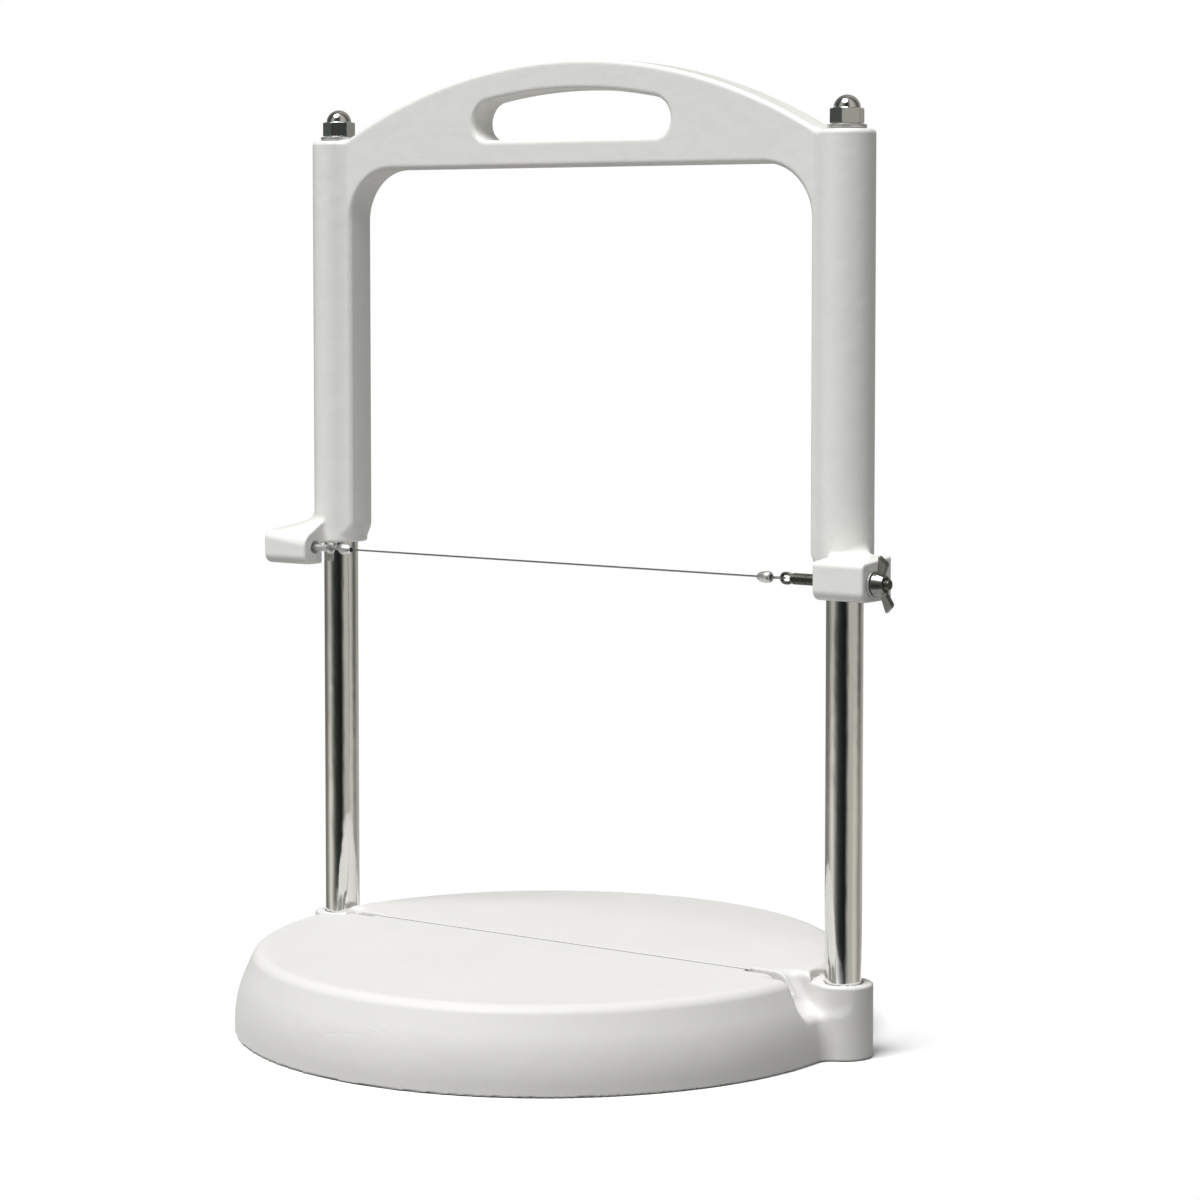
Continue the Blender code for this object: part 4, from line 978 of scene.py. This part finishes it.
# The studio walls that metal mirrors: the tone at each share of a turn, at the height of the camera's line,
# lower down and higher up
MIDDLE_WALL = (
    (0.00, 0.14), (0.03, 0.19), (0.06, 0.28), (0.09, 0.44), (0.12, 0.50), (0.15, 0.36), (0.18, 0.15),
    (0.20, 0.10), (0.22, 0.06), (0.25, 0.030), (0.30, 0.016), (0.350, 0.010), (0.368, 0.05), (0.39, 0.16),
    (0.41, 0.36), (0.43, 0.49), (0.50, 0.49), (0.54, 0.50), (0.57, 0.40), (0.60, 0.17), (0.63, 0.11),
    (0.66, 0.18), (0.70, 0.36), (0.76, 0.40), (0.86, 0.24), (1.00, 0.14))
LOWER_WALL = (
    (0.00, 0.18), (0.05, 0.34), (0.085, 0.60), (0.11, 0.76), (0.14, 0.72), (0.16, 0.56), (0.18, 0.36),
    (0.206, 0.19), (0.227, 0.09), (0.25, 0.05), (0.28, 0.025), (0.350, 0.008), (0.368, 0.05), (0.385, 0.13),
    (0.40, 0.32), (0.42, 0.46), (0.48, 0.50), (0.52, 0.64), (0.56, 0.60), (0.59, 0.44), (0.62, 0.30),
    (0.66, 0.32), (0.70, 0.42), (0.76, 0.50), (0.86, 0.32), (1.00, 0.18))
UPPER_WALL = (
    (0.00, 0.12), (0.05, 0.06), (0.10, 0.07), (0.14, 0.24), (0.18, 0.50), (0.22, 0.30), (0.27, 0.06),
    (0.345, 0.025), (0.37, 0.10), (0.405, 0.38), (0.45, 0.56), (0.52, 0.46), (0.58, 0.16), (0.63, 0.08),
    (0.70, 0.30), (0.80, 0.36), (1.00, 0.12))


def wall_ramp(tree, share, wall):
    """The studio walls' tone by bearing: warm where light, slightly green where dark."""
    node = tree.nodes.new("ShaderNodeValToRGB")
    stops = node.color_ramp.elements
    for index, (where, level) in enumerate(wall):
        stop = stops[index] if index < 2 else stops.new(where)
        stop.position = where
        tint = (1.03, 1.0, 0.90) if level > 0.15 else (0.92, 1.04, 0.94)
        stop.color = (*(level * part for part in tint), 1.0)
    plug(tree, node, {"Fac": share})
    return node.outputs["Color"]


def make_world(settings):
    """The surround: white to the camera, even light on the object, and for metal a studio of light walls
    with a dark opening behind the camera's left shoulder, lighter towards the walls' foot."""
    world = bpy.data.worlds.new("studio_surround")
    bpy.context.scene.world = world
    world.use_nodes = True
    tree = world.node_tree
    tree.nodes.clear()
    x, y, z = axes(tree, add_node(tree, "TexCoord", {}, "Generated"))
    share = times_plus(tree, math_node(tree, 'ARCTAN2', y, x), 0.5 / math.pi, 0.5)
    middle, lower, upper = [wall_ramp(tree, share, wall) for wall in (MIDDLE_WALL, LOWER_WALL, UPPER_WALL)]
    tone = mixed(tree, ranged(tree, z, -0.115, -0.158), middle, lower)
    tone = mixed(tree, ranged(tree, z, -0.060, 0.020), tone, upper)
    lit, seen, mirrored = [
        add_node(tree, "Background", {"Color": colour, "Strength": strength})
        for colour, strength in ((WHITE, settings.surround), (WHITE, 1.0), (tone, 1.0))]
    path = tree.nodes.new("ShaderNodeLightPath").outputs
    clear = math_node(tree, 'MAXIMUM', path["Is Camera Ray"], path["Is Transmission Ray"])
    sent = add_node(tree, "MixShader", {"Fac": path["Is Glossy Ray"], 1: lit, 2: mirrored})
    surface = add_node(tree, "MixShader", {"Fac": clear, 1: sent, 2: seen})
    plug(tree, tree.nodes.new("ShaderNodeOutputWorld"), {"Surface": surface})


def make_key_light(settings):
    """A broad sun from high above the user's side, soft enough to have no hard shadow."""
    data = bpy.data.lights.new("key_light", 'SUN')
    data.energy = settings.key
    data.angle = math.radians(36.0)
    lamp = placed("key_light", data)
    toward = Vector((-0.06, -0.42, 0.905))
    lamp.rotation_euler = toward.to_track_quat('Z', 'Y').to_euler()


def make_camera(settings):
    """The camera on its line: back from the aim by the distance, turned and raised by the two angles."""
    data = bpy.data.cameras.new("camera")
    data.lens = settings.lens
    data.sensor_width = 36.0
    data.clip_end = 100.0
    data.shift_y = settings.rise
    camera = placed("camera", data)
    a, e = settings.azimuth, settings.elevation
    ahead = Vector((-math.sin(a) * math.cos(e), math.cos(a) * math.cos(e), -math.sin(e)))
    right = Vector((math.cos(a), math.sin(a), 0.0))
    up = right.cross(ahead)
    turn = Matrix((right, up, -ahead)).transposed().to_4x4()
    camera.matrix_world = Matrix.Translation(Vector(settings.aim) - ahead * settings.distance) @ turn
    bpy.context.scene.camera = camera


class CUTTER_PT_panel(bpy.types.Panel):
    """The cheese cutter's buttons and sizes"""
    bl_idname = "CUTTER_PT_panel"
    bl_label = "Cheese Cutter"
    bl_space_type = 'VIEW_3D'
    bl_region_type = 'UI'
    bl_category = "Cheese Cutter"

    def draw(self, context):
        column = self.layout.column()
        for operator in OPERATORS:
            column.operator(operator.bl_idname)
        for holder, group in GROUPS:
            for name in group.__annotations__:
                column.prop(getattr(context.scene, holder), name)


OPERATORS = (CUTTER_OT_materials, CUTTER_OT_board, CUTTER_OT_frame, CUTTER_OT_posts, CUTTER_OT_springs,
             CUTTER_OT_bushes, CUTTER_OT_wire, CUTTER_OT_stage)
GROUPS = (("cutter_sizes", CutterSizes), ("cutter_colours", CutterColours), ("cutter_stage", StageSettings))


def register():
    """Make the property groups, operators and panel known."""
    for name, group in GROUPS:
        bpy.utils.register_class(group)
        setattr(bpy.types.Scene, name, PointerProperty(type=group))
    for made in (*OPERATORS, CUTTER_PT_panel):
        bpy.utils.register_class(made)


def unregister():
    """Take them out again."""
    for made in reversed((*OPERATORS, CUTTER_PT_panel)):
        bpy.utils.unregister_class(made)
    for name, group in reversed(GROUPS):
        delattr(bpy.types.Scene, name)
        bpy.utils.unregister_class(group)


def main():
    """Make every piece and the stage."""
    register()
    for operator in OPERATORS:
        area, name = operator.bl_idname.split(".")
        getattr(getattr(bpy.ops, area), name)()


if __name__ == "__main__":
    main()
